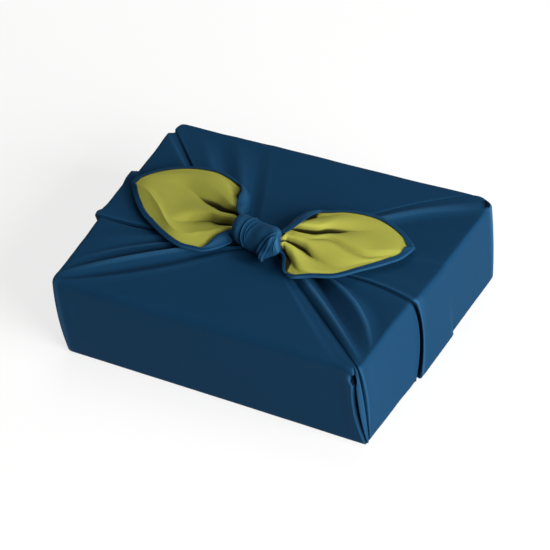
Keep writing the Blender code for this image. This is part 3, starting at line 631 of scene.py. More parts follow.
SECTIONS = {
    Side.RIGHT: (
        # pleat of the near corner, fan of folds, open slit, proud back flap
        Section(-109.2, -53.6, (-0.6, -2.6, -1.6), (-1.0, -1.5, -2.6), (1.5, -0.5)),
        Section(-108.4, -52.6, (-0.9, -2.6, -1.6), (-2.2, -5.0, -3.1), (3.2, 0.4), 0.5),
        Section(-107.6, -51.5, (0.2, -1.0, -1.2), (1.2, 0.6, -3.2), (3.8, 0.6), 1.0, crease=True),
        Section(-103.0, -42.0, (0.3, 2.6, 2.0), (1.4, 0.6, -3.2), (2.0, 0.0), 2.0),
        Section(-97.0, -22.0, (0.2, -2.6, -4.4), (1.5, 0.6, -3.0), bow=1.0),
        Section(-87.0, -14.5, (0.1, 2.2, 1.6), (1.4, 0.3, -2.6), bow=11.5, crease=True),
        Section(-62.0, -11.5, (0.0, -2.2, -1.6), (1.6, 0.2, -2.0), bow=10.0),
        Section(-26.0, -8.0, (-0.4, -1.0, -0.5), (2.6, 1.0, -0.6), (5.0, -4.0), 5.0),
        Section(-24.0, -7.0, (-1.0, -1.5, -0.8), (2.4, 1.0, -0.6), (7.2, -6.6), 5.0, crease=True),
        Section(-23.2, -6.6, (-1.2, -1.7, -0.9), (1.8, -1.2, -3.0), (9.4, -5.4), 5.0),
        Section(-22.0, -5.8, (-1.2, -1.7, -0.9), (1.8, -1.0, -2.8), (13.0, -1.6), 5.0),
        Section(-20.8, -5.0, (1.4, 1.4, 0.8), (6.2, 4.0, 2.4), (5.0, -5.0), 5.0, crease=True),
        Section(-14.0, -1.0, (1.2, 0.8, 0.6), (7.6, 4.8, 2.6), (2.0, -2.4), 6.0),
        Section(27.0, 8.0, (0.0, -0.8, -0.4), (8.4, 5.2, 2.8), (2.0, 2.6), 8.0),
        Section(31.0, 10.0, (0.4, -0.6, -0.4), (8.4, 5.0, 0.4), (2.0, 2.6), 8.0),
        Section(62.0, 26.0, (0.6, -1.6, -2.2), (8.8, 5.2, 0.5), bow=8.0),
        Section(95.0, 48.0, (0.0, -2.2, -1.4), (9.0, 5.8, 0.8), bow=11.0),
        Section(105.0, 60.0, (0.4, 2.3, 1.8), (9.0, 6.0, 0.8), bow=13.0),
    ),
    Side.BACK: (
        # the far right pleat, then a smooth side with soft folds towards the far left
        Section(148.0, 67.0, (0.3, 0.6, 0.6), (4.8, 3.8, 0.4), bow=11.0),
        Section(142.5, 69.0, (0.2, 0.0, 0.0), (4.6, 3.0, 0.6), (-2.0, 3.0), 9.0),
        Section(139.5, 70.4, (0.1, -0.4, 0.0), (4.2, -1.0, -1.0), (-2.4, 2.6), 8.6),
        Section(136.0, 72.0, (0.2, 0.4, 0.0), (4.2, 2.4, 0.0), (-3.0, 2.0), 8.0),
        Section(70.0, 80.0, (0.0, 0.3, 0.0), (2.6, 1.6, 0.0), bow=5.0, edge=5.0),
        Section(0.0, 92.0, (0.0, 0.2, 0.0), (1.0, 1.2, 0.0), edge=5.0),
        Section(-52.0, 104.0, (0.0, 0.4, 0.4), (-0.4, 0.8, 0.0), edge=5.0),
        Section(-68.0, 111.0, (-0.2, -1.0, -0.6), (-1.4, 0.6, 0.0), edge=5.0),
        Section(-88.0, 118.0, (-0.4, 1.5, 1.2), (-2.0, 0.4, 0.0), edge=5.0),
        Section(-111.0, 126.0, (-0.8, -1.5, -1.0), (-3.0, 0.2, 0.0), edge=5.0),
        Section(-130.0, 133.0, (-1.0, 1.4, 1.0), (-3.6, 0.0, 0.0)),
        Section(-147.0, 139.0, (-0.8, 0.8, 0.8), (-4.0, -0.5, 0.0)),
    ),
    Side.LEFT: (
        # far corner pleat, plain flap, proud overlap with two open folds, near corner fan
        Section(98.0, 142.0, (-0.4, 0.4, 0.4), (0.0, 0.5, 0.0), (-2.0, 3.0)),
        Section(94.0, 144.5, (-1.2, -1.6, -0.8), (-1.4, -3.5, -1.0), (-3.0, 3.4)),
        Section(89.5, 147.5, (0.3, 1.4, 1.0), (3.0, 1.8, 0.0), (-4.0, 4.0)),
        Section(60.0, 157.0, (0.0, -0.4, 0.0), (1.4, 1.2, 0.0)),
        Section(36.5, 165.0, (-0.3, -0.2, 0.0), (1.2, 0.6, 0.0), crease=True),
        Section(33.0, 166.5, (1.8, 1.4, 0.2), (6.4, 4.0, 1.6), crease=True),
        Section(26.0, 169.0, (1.4, 1.0, 0.0), (6.6, 4.4, 1.8)),
        Section(14.0, 173.0, (1.2, 0.9, 0.0), (4.4, 4.4, 1.8)),
        Section(-10.0, 182.0, (1.0, 0.9, 0.2), (3.8, 4.2, 1.8)),
        Section(-18.0, 186.0, (1.0, 1.0, 0.5), (4.6, 4.0, 1.8), (1.0, -4.0), 2.0),
        Section(-22.5, 187.2, (1.1, 1.1, 0.6), (7.2, 3.8, 1.8), (1.0, -4.6), 2.0),
        Section(-26.0, 188.0, (0.6, 0.9, 0.5), (6.8, 3.4, 1.6), (1.0, -5.0), 2.0, crease=True),
        Section(-27.8, 189.0, (-1.0, -2.6, -1.6), (3.0, -2.4, -1.6), (1.0, -5.0), 3.0),
        Section(-30.0, 190.0, (-0.4, -0.8, -0.4), (1.2, 0.6, 0.0), (1.0, -4.0), 3.0),
        Section(-58.0, 195.0, (0.0, 0.6, 0.6), (-0.8, 0.4, 0.0), bow=-3.0),
        Section(-78.0, 200.0, (0.1, -0.8, -1.0), (-1.8, 0.5, 0.0), bow=-6.0),
        Section(-88.0, 205.0, (0.1, 0.9, 1.0), (-2.4, 0.5, 0.0), bow=-6.0),
        Section(-97.0, 210.0, (0.2, -1.5, -2.4), (-2.6, 0.5, 0.0), bow=-4.0),
        Section(-103.0, 219.0, (0.5, 3.6, 2.6), (-2.2, 1.2, 0.0), bow=-2.0, edge=5.0),
    ),
    Side.FRONT: (
        # one smooth panel, then the first half of the near corner's pleat
        Section(-146.0, 231.0, (-0.4, -1.5, 0.0), (0.0, 3.0, 0.0), bow=4.0, edge=6.0, crease=True),
        Section(-136.0, 239.0, (0.2, 1.0, 0.5), (0.0, 2.2, 0.0), bow=6.0, edge=8.0),
        Section(-118.0, 246.0, (0.0, 0.4, 0.2), (0.0, 1.6, 0.0), bow=5.0, edge=9.0),
        Section(-55.0, 257.0, (0.0, 0.2, 0.0), (0.0, 0.8, 0.2), edge=9.0),
        Section(10.0, 270.0, (0.0, 0.3, 0.0), (0.0, 0.8, 0.4), edge=9.0),
        Section(75.0, 283.0, (0.0, 0.4, 0.0), (0.2, 1.0, 0.8), edge=8.0),
        Section(128.0, 296.0, (0.0, 0.5, 0.3), (0.4, 1.0, 1.2), edge=6.0),
        Section(142.0, 301.0, (-0.2, -1.0, -0.6), (0.6, 1.8, 1.2), (-4.2, 0.0)),
        Section(147.4, 304.6, (-0.3, -1.8, -1.2), (0.2, 1.9, 1.2), (-6.9, -1.4), crease=True),
        Section(148.4, 305.4, (-0.5, -2.2, -1.4), (-1.4, -3.0, -0.6), (-6.2, -1.2)),
        Section(149.4, 305.9, (-0.5, -2.4, -1.5), (-1.0, -0.4, -0.2), (-4.4, -0.6)),
    ),
}


@dataclass(frozen=True)
class Columns:
    """The sections' values, spread over the columns of the bundle's mesh.

    Attributes:
        place: how far round the box, from the near right corner.
        shift: how far moved along the side at mid height and at the base, 2 x n.
        gather: angle on the gathering oval, in degrees.
        bow: sideways bow over the top.
        edge: radius of the rim.
        rise: height above the top, at the rim, half way and at the oval, 3 x n.
        out: how far out from the box, at the rim, mid height and base, 3 x n.
    """

    place: Array
    shift: Array
    gather: Array
    bow: Array
    edge: Array
    rise: Array
    out: Array


@dataclass(frozen=True)
class Pocket:
    """A small deep hole where a pleat opens.

    Attributes:
        side: side of the box that its middle stands on.
        at: place of its middle along that side.
        height: height of its middle, measured on over the rim and inwards over the top.
        reach: its half width along the side and half height.
        depth: how deep it is.
    """

    side: Side
    at: float
    height: float
    reach: tuple[float, float]
    depth: float


# Pockets push the cloth in, and their insides are painted dark as painted shade.
POCKETS = (
    Pocket(Side.FRONT, 144.6, 73.5, (2.5, 5.0), 6.0),
    Pocket(Side.RIGHT, 106.0, 90.0, (3.7, 4.2), 1.2),
)


@dataclass
class Bundle:
    """The cloth drawn over the box: folded top, pleated sides and flat base.

    Attributes:
        length: size along X.
        depth: size along Y.
        height: size along Z, without the knot.
        thickness: thickness of the cloth.
        corner_radius: radius of the upright corners.
        base_bevel: radius of the lower edges.
        gather_centre: middle of the oval where the folds are drawn in under the knot.
        gather_half: half the oval's length and depth.
        gather_lift: how far the cloth climbs inside the oval.
        gather_power: how steeply it climbs.
        crease_slope: how steeply the cloth leaves a sharp crease; 1 is straight.
        tuck_lift: how far a fold's inner leaf is lifted off the base.
        tuck_reach: columns before and after the leaf that are lifted with it.
        column_step: widest step from column to column of the mesh.
        shortest_run: fewest steps between two neighbouring sections.
        cap_start: share of the oval inside the first row.
        cap_rows: rows inside the oval.
        top_rows: rows over the top.
        rim_rows: rows round the rim.
        wall_rows: rows down the sides.
        wall_power: how much closer they lie below the rim.
        bevel_rows: rows round the lower edges.
        sole_shares: rows under the base, as shares of its size.
        relief: how ridges and hollows are measured.
        shade: strength of the painted shade on the cloth under the knot.
        shade_centre: middle of the oval of painted shade.
        shade_half: half that oval's length and depth.
        shade_fade: shares of the oval between which the painted shade fades.
        hole_depth: depths between which a pocket is painted dark, as painted shade.
        hole_shade: how far the crest drops there for that painted shade, from 1.
    """

    length: float = 300.0
    depth: float = 220.0
    height: float = 86.0
    thickness: float = 0.6
    corner_radius: float = 6.0
    base_bevel: float = 2.5
    gather_centre: tuple[float, float] = (5.0, -14.0)
    gather_half: tuple[float, float] = (58.0, 19.0)
    gather_lift: float = 6.0
    gather_power: float = 1.5
    crease_slope: float = 1.5
    tuck_lift: float = 0.6
    tuck_reach: tuple[int, int] = (2, 3)
    column_step: float = 3.0
    shortest_run: int = 4
    cap_start: float = 0.12
    cap_rows: int = 7
    top_rows: int = 34
    rim_rows: int = 7
    wall_rows: int = 39
    wall_power: float = 1.4
    bevel_rows: int = 3
    sole_shares: tuple[float, ...] = (0.92, 0.8, 0.6, 0.4, 0.2, 0.05)
    relief: Relief = Relief((0, 2), 2.2, (1, 2, 3, 5))
    shade: float = 0.34
    shade_centre: tuple[float, float] = (4.0, -16.0)
    shade_half: tuple[float, float] = (30.0, 16.0)
    shade_fade: tuple[float, float] = (0.6, 1.6)
    hole_depth: tuple[float, float] = (0.2, 0.9)
    hole_shade: float = 1.75

    @property
    def perimeter(self) -> float:
        """The length of the box's square plan."""
        return 2.0 * (self.length + self.depth)

    @property
    def flat(self) -> tuple[float, float]:
        """The rectangle of cloth that goes right round the box, in metres."""
        return (2 * (self.depth + self.height) * MM, (self.length + 2 * self.height) * MM)

    def place(self, side: Side, at: float) -> float:
        """Measure how far round the box a place on a side is.

        Formula: places run counter-clockwise; on the back and the left that is against +X
        and +Y, which a side's own places run along.

        Args:
            side: the box's side.
            at: the place on it, from the side's middle.

        Returns:
            The way round the box from the near right corner.
        """
        return {
            Side.RIGHT: self.depth / 2 + at,
            Side.BACK: self.depth + self.length / 2 - at,
            Side.LEFT: self.depth + self.length + self.depth / 2 - at,
            Side.FRONT: 2 * self.depth + self.length + self.length / 2 + at,
        }[side]

    def columns(self) -> Columns:
        """Spread the sections' values over the mesh's columns.

        Formula: places, shifts, gather, bow and edge run straight from section to section;
        rise and out follow a cubic that is level at a soft fold and steep at a crease.

        Returns:
            The values of each column, once round the box.
        """
        ring = [(self.place(side, section.at), section.gather, section)
                for side, sections in SECTIONS.items() for section in sections]
        place, gather, first = ring[0]
        ring.append((place + self.perimeter, gather + 360.0, first))
        blocks = []
        for (here, gather, section), (there, next_gather, after) in pairwise(ring):
            start = np.array((here, *section.shift, gather, section.bow, section.edge))
            end = np.array((there, *after.shift, next_gather, after.bow, after.edge))
            low = np.array((*section.rise, *section.out))
            high = np.array((*after.rise, *after.out))
            steps = max(self.shortest_run, math.ceil((there - here) / self.column_step))
            share = (np.arange(steps) / steps)[:, None]
            eased = sloped_ease(share, self.crease_slope * section.crease,
                                self.crease_slope * after.crease)
            blocks.append(np.hstack((start + (end - start) * share, low + (high - low) * eased)))
        table = np.concatenate(blocks).T
        return Columns(place=table[0], shift=table[1:3], gather=table[3], bow=table[4],
                       edge=table[5], rise=table[6:9], out=table[9:12])

    def plan(self, place: Array) -> tuple[Array, Array]:
        """Find points of the box's rounded plan.

        Formula: along a side the point is the side's start plus the way along it; within a
        corner's radius the point swings 45 degrees round the corner's centre.

        Args:
            place: how far round the box, from the near right corner.

        Returns:
            The points and their outward normals, each n x 2.
        """
        half = (self.length / 2, self.depth / 2)
        place = np.mod(place, self.perimeter)
        starts = np.array((0.0, self.depth, self.depth + self.length,
                           2 * self.depth + self.length))
        runs = np.array((self.depth, self.length, self.depth, self.length))
        corner = np.array(((half[0], -half[1]), half, (-half[0], half[1]),
                           (-half[0], -half[1])))
        side = np.searchsorted(starts, place, side="right") - 1
        along = place - starts[side]
        run = runs[side]
        radius = self.corner_radius
        turn = np.where(along < radius, -45.0 * (1.0 - along / radius), 0.0)
        turn = np.where(along > run - radius, 45.0 * (1.0 - (run - along) / radius), turn)
        along = np.clip(along, radius, run - radius)
        facing = np.radians(90.0 * side)
        face = np.stack((np.cos(facing), np.sin(facing)), axis=-1)
        way = np.stack((-np.sin(facing), np.cos(facing)), axis=-1)
        turned = facing + np.radians(turn)
        normal = np.stack((np.cos(turned), np.sin(turned)), axis=-1)
        inner = corner[side] + way * along[:, None] - face * radius
        return inner + normal * radius, normal

    def moved(self, columns: Columns, height: Array) -> Array:
        """Find how far round the box each column stands at its height.

        Formula: its place at the rim plus the section's shift, a parabola in height; places
        run along +X or +Y on the right and the front, and against it on the other sides.

        Args:
            columns: the columns' values.
            height: one height for each column.

        Returns:
            The places, from the near right corner.
        """
        place = np.mod(columns.place, self.perimeter)
        rising = (place <= self.depth) | (place > 2 * self.depth + self.length)
        shift = through_three((*columns.shift[::-1], np.zeros_like(height)),
                              np.clip(height / self.height, 0.0, 1.0))
        return columns.place + np.where(rising, 1.0, -1.0) * shift

    def pocket_depth(self, place: Array, height: Array) -> Array:
        """Add up the pockets' depths.

        Formula: each pocket is a steep bell, the exponential of minus the fourth power of the
        distance from its middle.

        Args:
            place: how far round the box the points are, from the near right corner.
            height: their heights, counted on inwards over the rim.

        Returns:
            How far the cloth is pushed in at each point.
        """
        depth = np.zeros_like(height)
        for pocket in POCKETS:
            away = place - self.place(pocket.side, pocket.at) + self.perimeter / 2
            away = (np.mod(away, self.perimeter) - self.perimeter / 2) / pocket.reach[0]
            above = (height - pocket.height) / pocket.reach[1]
            depth += pocket.depth * np.exp(-(away**2 + above**2) ** 2)
        return depth

    def wall(self, columns: Columns, height: Array) -> tuple[Array, Array]:
        """Find the cloth's points on the sides at given heights.

        Formula: the plan's point, moved along the side by the section's shift and out along
        the normal by its stand-off, both parabolas in height, and in again in a pocket.

        Args:
            columns: the columns' values.
            height: one height for each column.

        Returns:
            The points and outward normals, each n x 2.
        """
        place = self.moved(columns, height)
        point, normal = self.plan(place)
        out = through_three(columns.out[::-1], height / self.height)
        out -= self.pocket_depth(place, height)
        return point + normal * out[:, None], normal

    def loft(self, columns: Columns) -> tuple[Array, Array]:
        """Lay the cloth's rows, from inside the gathering oval to the middle of the base.

        Formula: each column climbs inside the oval, runs over the top to the rim along a
        chord with its own bow and rise, turns the rim on a quarter ellipse, falls down the
        wall, turns the base's bevel and closes to the middle of the base.

        Args:
            columns: the columns' values.

        Returns:
            The points, rows x columns x 3, and how deep in a pocket each of them lies.
        """
        centre = np.array(self.gather_centre)
        angle = np.radians(columns.gather)
        oval = np.stack((self.gather_half[0] * np.cos(angle),
                         self.gather_half[1] * np.sin(angle)), axis=-1)
        start = centre + oval
        edge = columns.edge
        ground = np.zeros_like(edge)
        rim_wall = self.wall(columns, ground + self.height)[0]
        inward = unit(start - rim_wall)
        chord = rim_wall + inward * edge[:, None] - start
        across = unit(np.stack((-chord[:, 1], chord[:, 0]), axis=-1))
        rows: list[Array] = []
        holes: list[Array] = []

        def lay(spot: Array, height: Array, inset: Array | float = 0.0) -> None:
            """Add a row of points at their heights, at a distance inwards from the wall."""
            rows.append(np.column_stack((spot, height)))
            holes.append(self.pocket_depth(self.moved(columns, height), height + inset))

        for share in np.linspace(self.cap_start, 1.0, self.cap_rows + 1)[:-1]:
            climb = self.gather_lift * (1.0 - share) ** self.gather_power
            lay(centre + oval * share, self.height + columns.rise[2] * share + climb, self.depth)
        for share in np.linspace(0.0, 1.0, self.top_rows):
            bow = columns.bow * 4 * share * (1 - share)
            spot = start + chord * share + across * bow[:, None]
            lay(spot, self.height + through_three(columns.rise[::-1], share),
                np.linalg.norm(spot - rim_wall, axis=1))
        for turn in np.linspace(0.0, 1.0, self.rim_rows + 1)[1:] * math.pi / 2:
            height = self.height - edge + (edge + columns.rise[0]) * math.cos(turn)
            side = self.wall(columns, np.minimum(height, self.height))[0]
            inset = edge * (1.0 - math.sin(turn))
            lay(side + inward * inset[:, None], height, inset)
        for share in np.linspace(0.0, 1.0, self.wall_rows + 1)[1:] ** self.wall_power:
            height = (self.height - edge) + (self.base_bevel - self.height + edge) * share
            lay(self.wall(columns, height)[0], height)
        base, normal = self.wall(columns, ground)
        for turn in np.linspace(0.0, 1.0, self.bevel_rows + 1)[1:] * math.pi / 2:
            lay(base - normal * self.base_bevel * (1.0 - math.cos(turn)),
                ground + self.base_bevel * (1.0 - math.sin(turn)))
        sole = self.plan(columns.place)[0]
        for share in self.sole_shares:
            lay(sole * share, ground)
        return np.array(rows), np.array(holes)

    def tuck(self, columns: Columns) -> Array:
        """Lift the columns that double back at the base, so that they lie inside the cloth.

        Args:
            columns: the columns' values.

        Returns:
            One height for each column.
        """
        place = self.moved(columns, np.zeros_like(columns.place))
        back = (np.diff(place, append=place[:1] + self.perimeter) < 0.0).astype(float)
        before, after = self.tuck_reach
        wide = np.max([np.roll(back, step) for step in range(-before, after + 1)], axis=0)
        return self.tuck_lift * wide

    def unfold(self, points: Array, columns: Columns) -> Array:
        """Map the cloth: the plan on top, then the way down the side out along the normal.

        Args:
            points: rows x columns x 3.
            columns: the columns' values.

        Returns:
            A pair for each point and for the first column once more, in millimetres.
        """
        normal = self.wall(columns, np.full_like(columns.place, self.height))[1]
        top = self.cap_rows + self.top_rows
        steps = np.linalg.norm(np.diff(points[top - 1:], axis=0), axis=-1)
        drop = np.cumsum(steps, axis=0)
        uv = points[..., :2].copy()
        uv[top:] = uv[top - 1] + normal[None] * drop[..., None]
        return np.concatenate((uv, uv[:, :1]), axis=1)

    def crest(self, points: Array, holes: Array) -> Array:
        """Work out what the finish shows.

        Formula: the measured ridges and hollows, which the finish paints lighter and darker,
        less a painted shade that fades outwards from the middle of an oval under the knot, and
        pulled down steeply inside a pocket as painted shade.

        Args:
            points: rows x columns x 3.
            holes: how deep in a pocket each point lies.

        Returns:
            Rows x columns, from -1 to 1.
        """
        # Painted shade under the knot and inside the pockets.
        away = np.hypot((points[..., 0] - self.shade_centre[0]) / self.shade_half[0],
                        (points[..., 1] - self.shade_centre[1]) / self.shade_half[1])
        on_top = points[..., 2] > self.height / 2
        shaded = self.shade * (1.0 - ease(away, *self.shade_fade)) * on_top
        crest = np.clip(self.relief.read(points, closed=True) - shaded, -1.0, 1.0)
        return np.minimum(crest, 1.0 - self.hole_shade * ease(holes, *self.hole_depth))

    def surface(self) -> Surface:
        """Loft the whole cloth, with a fold's inner leaf tucked in above the base.

        Returns:
            The lofted grid, with the cloth map unfolded from the top over the sides.
        """
        columns = self.columns()
        points, holes = self.loft(columns)
        low = 1.0 - ease(points[..., 2], 0.0, self.base_bevel)
        points[..., 2] += self.tuck(columns) * low
        peak = np.array((*self.gather_centre, self.height + self.gather_lift))
        return Surface(points, self.unfold(points, columns), self.crest(points, holes),
                       closed=True, first_pole=peak, last_pole=np.zeros(3))

    def build(self) -> bpy.types.Object:
        """Make the bundle's sheet of cloth.

        Returns:
            The finished object.
        """
        thing = self.surface().build("bundle_cloth")
        thicken(thing, self.thickness)
        return thing


# Knot ------------------------------------------------------------------------------------
@dataclass(frozen=True)
class Lap:
    """An edge where one turn of the knot's cloth lies over the next.

    Attributes:
        angles: angles round the knot, in degrees: 0 at the back, 90 on top, 180 in front.
        places: places of the edge along the knot's axis at those angles.
        step: how far the upper turn stands out at its edge.
        reach: how far from the edge the step dies away.
        raised: 1 if the cloth on the +X side lies on top, -1 if the other does.
    """

    angles: tuple[float, ...]
    places: tuple[float, ...]
    step: float
    reach: float
    raised: int = 1


@dataclass(frozen=True)
class Swell:
    """A smooth bulge (rise > 0) or dip (rise < 0) of the knot.

    Attributes:
        place: its middle along the knot's axis.
        angle: its middle round the knot, in degrees.
        rise: its height.
        length: its reach along the axis.
        spread: its reach round the knot, in degrees.
    """

    place: float
    angle: float
    rise: float
    length: float
    spread: float


KNOT_LAPS = (
    Lap((40.0, 80.0, 102.0, 125.0, 150.0, 185.0), (-8.0, -9.2, -9.8, -10.0, -9.4, -7.0), 1.7, 1.5),
    Lap((62.0, 90.0, 110.0, 135.0, 158.0), (-5.0, -5.9, -6.3, -6.2, -5.0), 0.8, 1.1),
    Lap((52.0, 77.0, 100.0, 120.0, 138.0), (2.6, -0.4, -1.9, -3.2, -4.0), 0.7, 1.3),
    Lap((48.0, 85.0, 115.0, 137.0, 157.0, 185.0), (25.0, 21.6, 17.6, 14.6, 11.8, 8.6), 1.6, 1.5),
    Lap((95.0, 130.0, 150.0, 175.0, 205.0), (24.4, 20.8, 17.8, 13.8, 10.6), 1.2, 1.3),
    Lap((128.0, 150.0, 170.0, 190.0, 216.0), (22.4, 21.8, 19.6, 16.8, 13.2), 2.6, 5.5, -1),
    Lap((70.0, 110.0, 150.0, 190.0), (22.6, 24.0, 24.6, 24.0), 0.8, 1.6),
)

KNOT_SWELLS = (
    Swell(8.0, 120.0, 1.6, 7.0, 60.0),
    Swell(13.4, 204.0, 4.2, 4.6, 26.0),
    Swell(-2.0, 170.0, 0.8, 6.0, 40.0),
    Swell(-14.5, 130.0, 0.8, 3.0, 50.0),
)


@dataclass
class Knot:
    """The square knot on top: turns of cloth lapped round a level axis.

    Attributes:
        base: height of the bundle's top.
        centre: middle of the knot in plan.
        lift: height of its axis above the bundle's top.
        turn: the axis's turn from +X, in degrees.
        half_length: half the knot's length.
        slants: how much further the left end reaches at the back, and the right end in front.
        radii: core radius at the left end, the middle and the right end.
        end_round: length over which the core is rounded off at each end.
        end_share: share of the radius that is left at each end.
        end_lift: how much higher the axis is at both ends.
        lap_soft: width over which the step at a lap rises.
        lap_fade: angle over which a lap runs out, in degrees.
        lap_round: how many times a lap's edge is smoothed, and over how many columns.
        lap_mean: how far the laps stand out on the whole.
        stations: rows of the mesh along the axis.
        sides: columns of the mesh round the axis.
        relief: how ridges and hollows are measured.
        painted_highlight: how much lighter the whole knot's finish is painted, as a painted
            highlight.
        thickness: thickness of the cloth.
    """

    base: float
    centre: tuple[float, float] = (3.0, -12.8)
    lift: float = 13.5
    turn: float = -7.0
    half_length: float = 22.5
    slants: tuple[float, float] = (0.8, 4.4)
    radii: tuple[float, float, float] = (12.0, 13.0, 12.0)
    end_round: float = 7.0
    end_share: float = 0.6
    end_lift: float = 4.5
    lap_soft: float = 0.3
    lap_fade: float = 16.0
    lap_round: tuple[int, int] = (3, 3)
    lap_mean: float = 1.5
    stations: int = 210
    sides: int = 220
    relief: Relief = Relief((2, 0), 0.2, (2, 4, 8))
    painted_highlight: float = 0.18
    thickness: float = 0.5

    @property
    def flat(self) -> tuple[float, float]:
        """The length of the knot and the way round it, in metres."""
        return (2 * self.half_length * MM, 2 * math.pi * (self.radii[1] + self.lap_mean) * MM)

    def ends(self, angle: Array) -> tuple[Array, Array]:
        """Find the places of both ends along the axis, each cut at a slant."""
        return (-self.half_length - self.slants[0] * np.cos(angle),
                self.half_length - self.slants[1] * np.cos(angle))

    def radius(self, along: Array, angle: Array) -> Array:
        """Work out the knot's outer radius.

        Formula: a core whose radius is a parabola along the axis, rounded off at both ends,
        plus bell-shaped swells, plus laps: each lap rises in a soft step at its edge and dies
        away exponentially over the cloth that lies on top.

        Args:
            along: places along the axis, n x m.
            angle: angles round it, 1 x m.

        Returns:
            The radius, n x m.
        """
        share = (along / self.half_length + 1.0) / 2.0
        radius = through_three(self.radii, share)
        degrees = np.mod(np.degrees(angle) + 90.0, 360.0) - 90.0
        for swell in KNOT_SWELLS:
            radius += swell.rise * np.exp(-((along - swell.place) / swell.length) ** 2
                                          - ((degrees - swell.angle) / swell.spread) ** 2)
        for lap in KNOT_LAPS:
            edge = np.interp(degrees, lap.angles, lap.places)
            rounds, reach = self.lap_round
            for _ in range(rounds):
                edge = (np.roll(edge, reach, axis=1) + edge + np.roll(edge, -reach, axis=1)) / 3.0
            shown = (ease(degrees, lap.angles[0] - self.lap_fade, lap.angles[0])
                     * ease(-degrees, -lap.angles[-1] - self.lap_fade, -lap.angles[-1]))
            depth = (along - edge) * lap.raised
            rise = ease(depth, -self.lap_soft, self.lap_soft)
            radius += lap.step * shown * rise * np.exp(-np.maximum(depth, 0.0) / lap.reach)
        left, right = self.ends(angle)
        for gap in (along - left, right - along):
            inside = np.clip(1.0 - gap / self.end_round, 0.0, 1.0)
            radius *= self.end_share + (1.0 - self.end_share) * np.sqrt(1.0 - inside**2)
        return radius

    def surface(self) -> Surface:
        """Wrap the radius round the axis.

        Formula: rows at even steps from end to end of a level axis that rises a little at
        both ends; each point stands its radius away from the axis, at its angle.

        Returns:
            The knot's grid, with both ends closed.
        """
        angle = (np.arange(self.sides) * -2 * math.pi / self.sides)[None, :]
        left, right = self.ends(angle)
        along = left + (right - left) * np.linspace(0.0, 1.0, self.stations)[:, None]
        radius = self.radius(along, angle)
        lift = self.lift + self.end_lift * (along / self.half_length) ** 2
        turn = math.radians(self.turn)
        axis = np.array((math.cos(turn), math.sin(turn), 0.0))
        back = np.array((-math.sin(turn), math.cos(turn), 0.0))
        up = np.array((0.0, 0.0, 1.0))
        middle = np.array((*self.centre, self.base))
        points = (middle + along[..., None] * axis + (radius * np.cos(angle))[..., None] * back
                  + (radius * np.sin(angle) + lift)[..., None] * up)
        ring = np.append(angle, -2 * math.pi)[None, :] * self.radii[1]
        uv = np.stack(np.broadcast_arrays(along[:, :1], ring), axis=-1)
        # The whole knot is painted lighter: a painted highlight added to its crest.
        crest = np.clip(self.relief.read(points, closed=True) + self.painted_highlight, -1.0, 1.0)
        return Surface(points, uv, crest, closed=True, first_pole=points[0].mean(axis=0),
                       last_pole=points[-1].mean(axis=0))

    def build(self) -> bpy.types.Object:
        """Make the knot's sheet of cloth.

        Returns:
            The finished object.
        """
        thing = self.surface().build("knot_cloth")
        thicken(thing, self.thickness)
        return thing


# Free ends -------------------------------------------------------------------------------
@dataclass(frozen=True)
class Rib:
    """One cross-section of a free end, from its lower edge to its upper edge.

    Heights are above the bundle's top.  Near the knot the cloth doubles back over itself at
    both edges: a lapel is the rim of the cloth that is folded in.

    Attributes:
        station: 0 at the knot, 1 at the tip.
        lower: the lower edge.
        upper: the upper edge.
        lower_lapel: the rim of the cloth folded in at the lower edge.
        upper_lapel: the rim of the cloth folded in at the upper edge.
    """

    station: float
    lower: tuple[float, float, float]
    upper: tuple[float, float, float]
    lower_lapel: tuple[float, ...] = ()
    upper_lapel: tuple[float, ...] = ()


@dataclass(frozen=True)
class Cut:
    """The folds met on one cross-section of a free end.

    Attributes:
        station: 0 at the knot, 1 at the tip.
        folds: place and height of each fold; places run from 0 at the lower edge to 1 at the
            upper one, and heights are above the bundle's top.
    """

    station: float
    folds: tuple[tuple[float, float], ...]


LEFT_RIBS = (
    Rib(0.0, (-8.0, -18.5, 12.0), (-8.0, -6.0, 16.0),
        (-9.5, -17.0, 14.0), (-10.0, -8.0, 18.5)),
    Rib(0.08, (-18.6, -18.6, 8.6), (-20.0, 5.0, 14.5),
        (-21.0, -14.0, 14.5), (-23.5, 0.5, 20.5)),
    Rib(0.2, (-22.0, -21.6, 5.6), (-27.2, 21.1, 9.0),
        (-28.0, -15.5, 13.5), (-33.2, 12.0, 18.0)),
    Rib(0.3, (-28.2, -29.2, 5.0), (-33.9, 34.3, 8.4),
        (-34.0, -23.0, 12.0), (-37.6, 22.5, 17.0)),
    Rib(0.4, (-36.0, -35.8, 4.8), (-42.9, 41.5, 8.6),
        (-38.0, -31.6, 8.8), (-42.4, 34.0, 14.2)),
    Rib(0.46, (-41.6, -38.6, 4.8), (-50.0, 44.6, 8.8),
        (-42.2, -36.8, 7.0), (-49.6, 41.4, 12.2)),
    Rib(0.52, (-48.0, -39.6, 4.8), (-60.5, 49.0, 8.6)),
    Rib(0.6, (-60.2, -40.2, 4.6), (-76.3, 52.8, 8.0)),
    Rib(0.7, (-78.2, -35.2, 4.6), (-99.9, 50.4, 7.0)),
    Rib(0.8, (-96.7, -26.3, 4.8), (-119.3, 42.4, 6.4)),
    Rib(0.9, (-116.3, -14.2, 5.0), (-133.4, 32.0, 6.0)),
    Rib(0.965, (-131.6, 0.8, 5.2), (-140.3, 23.0, 5.6)),
    Rib(1.0, (-143.2, 15.5, 5.4), (-143.6, 17.5, 5.4)),
)

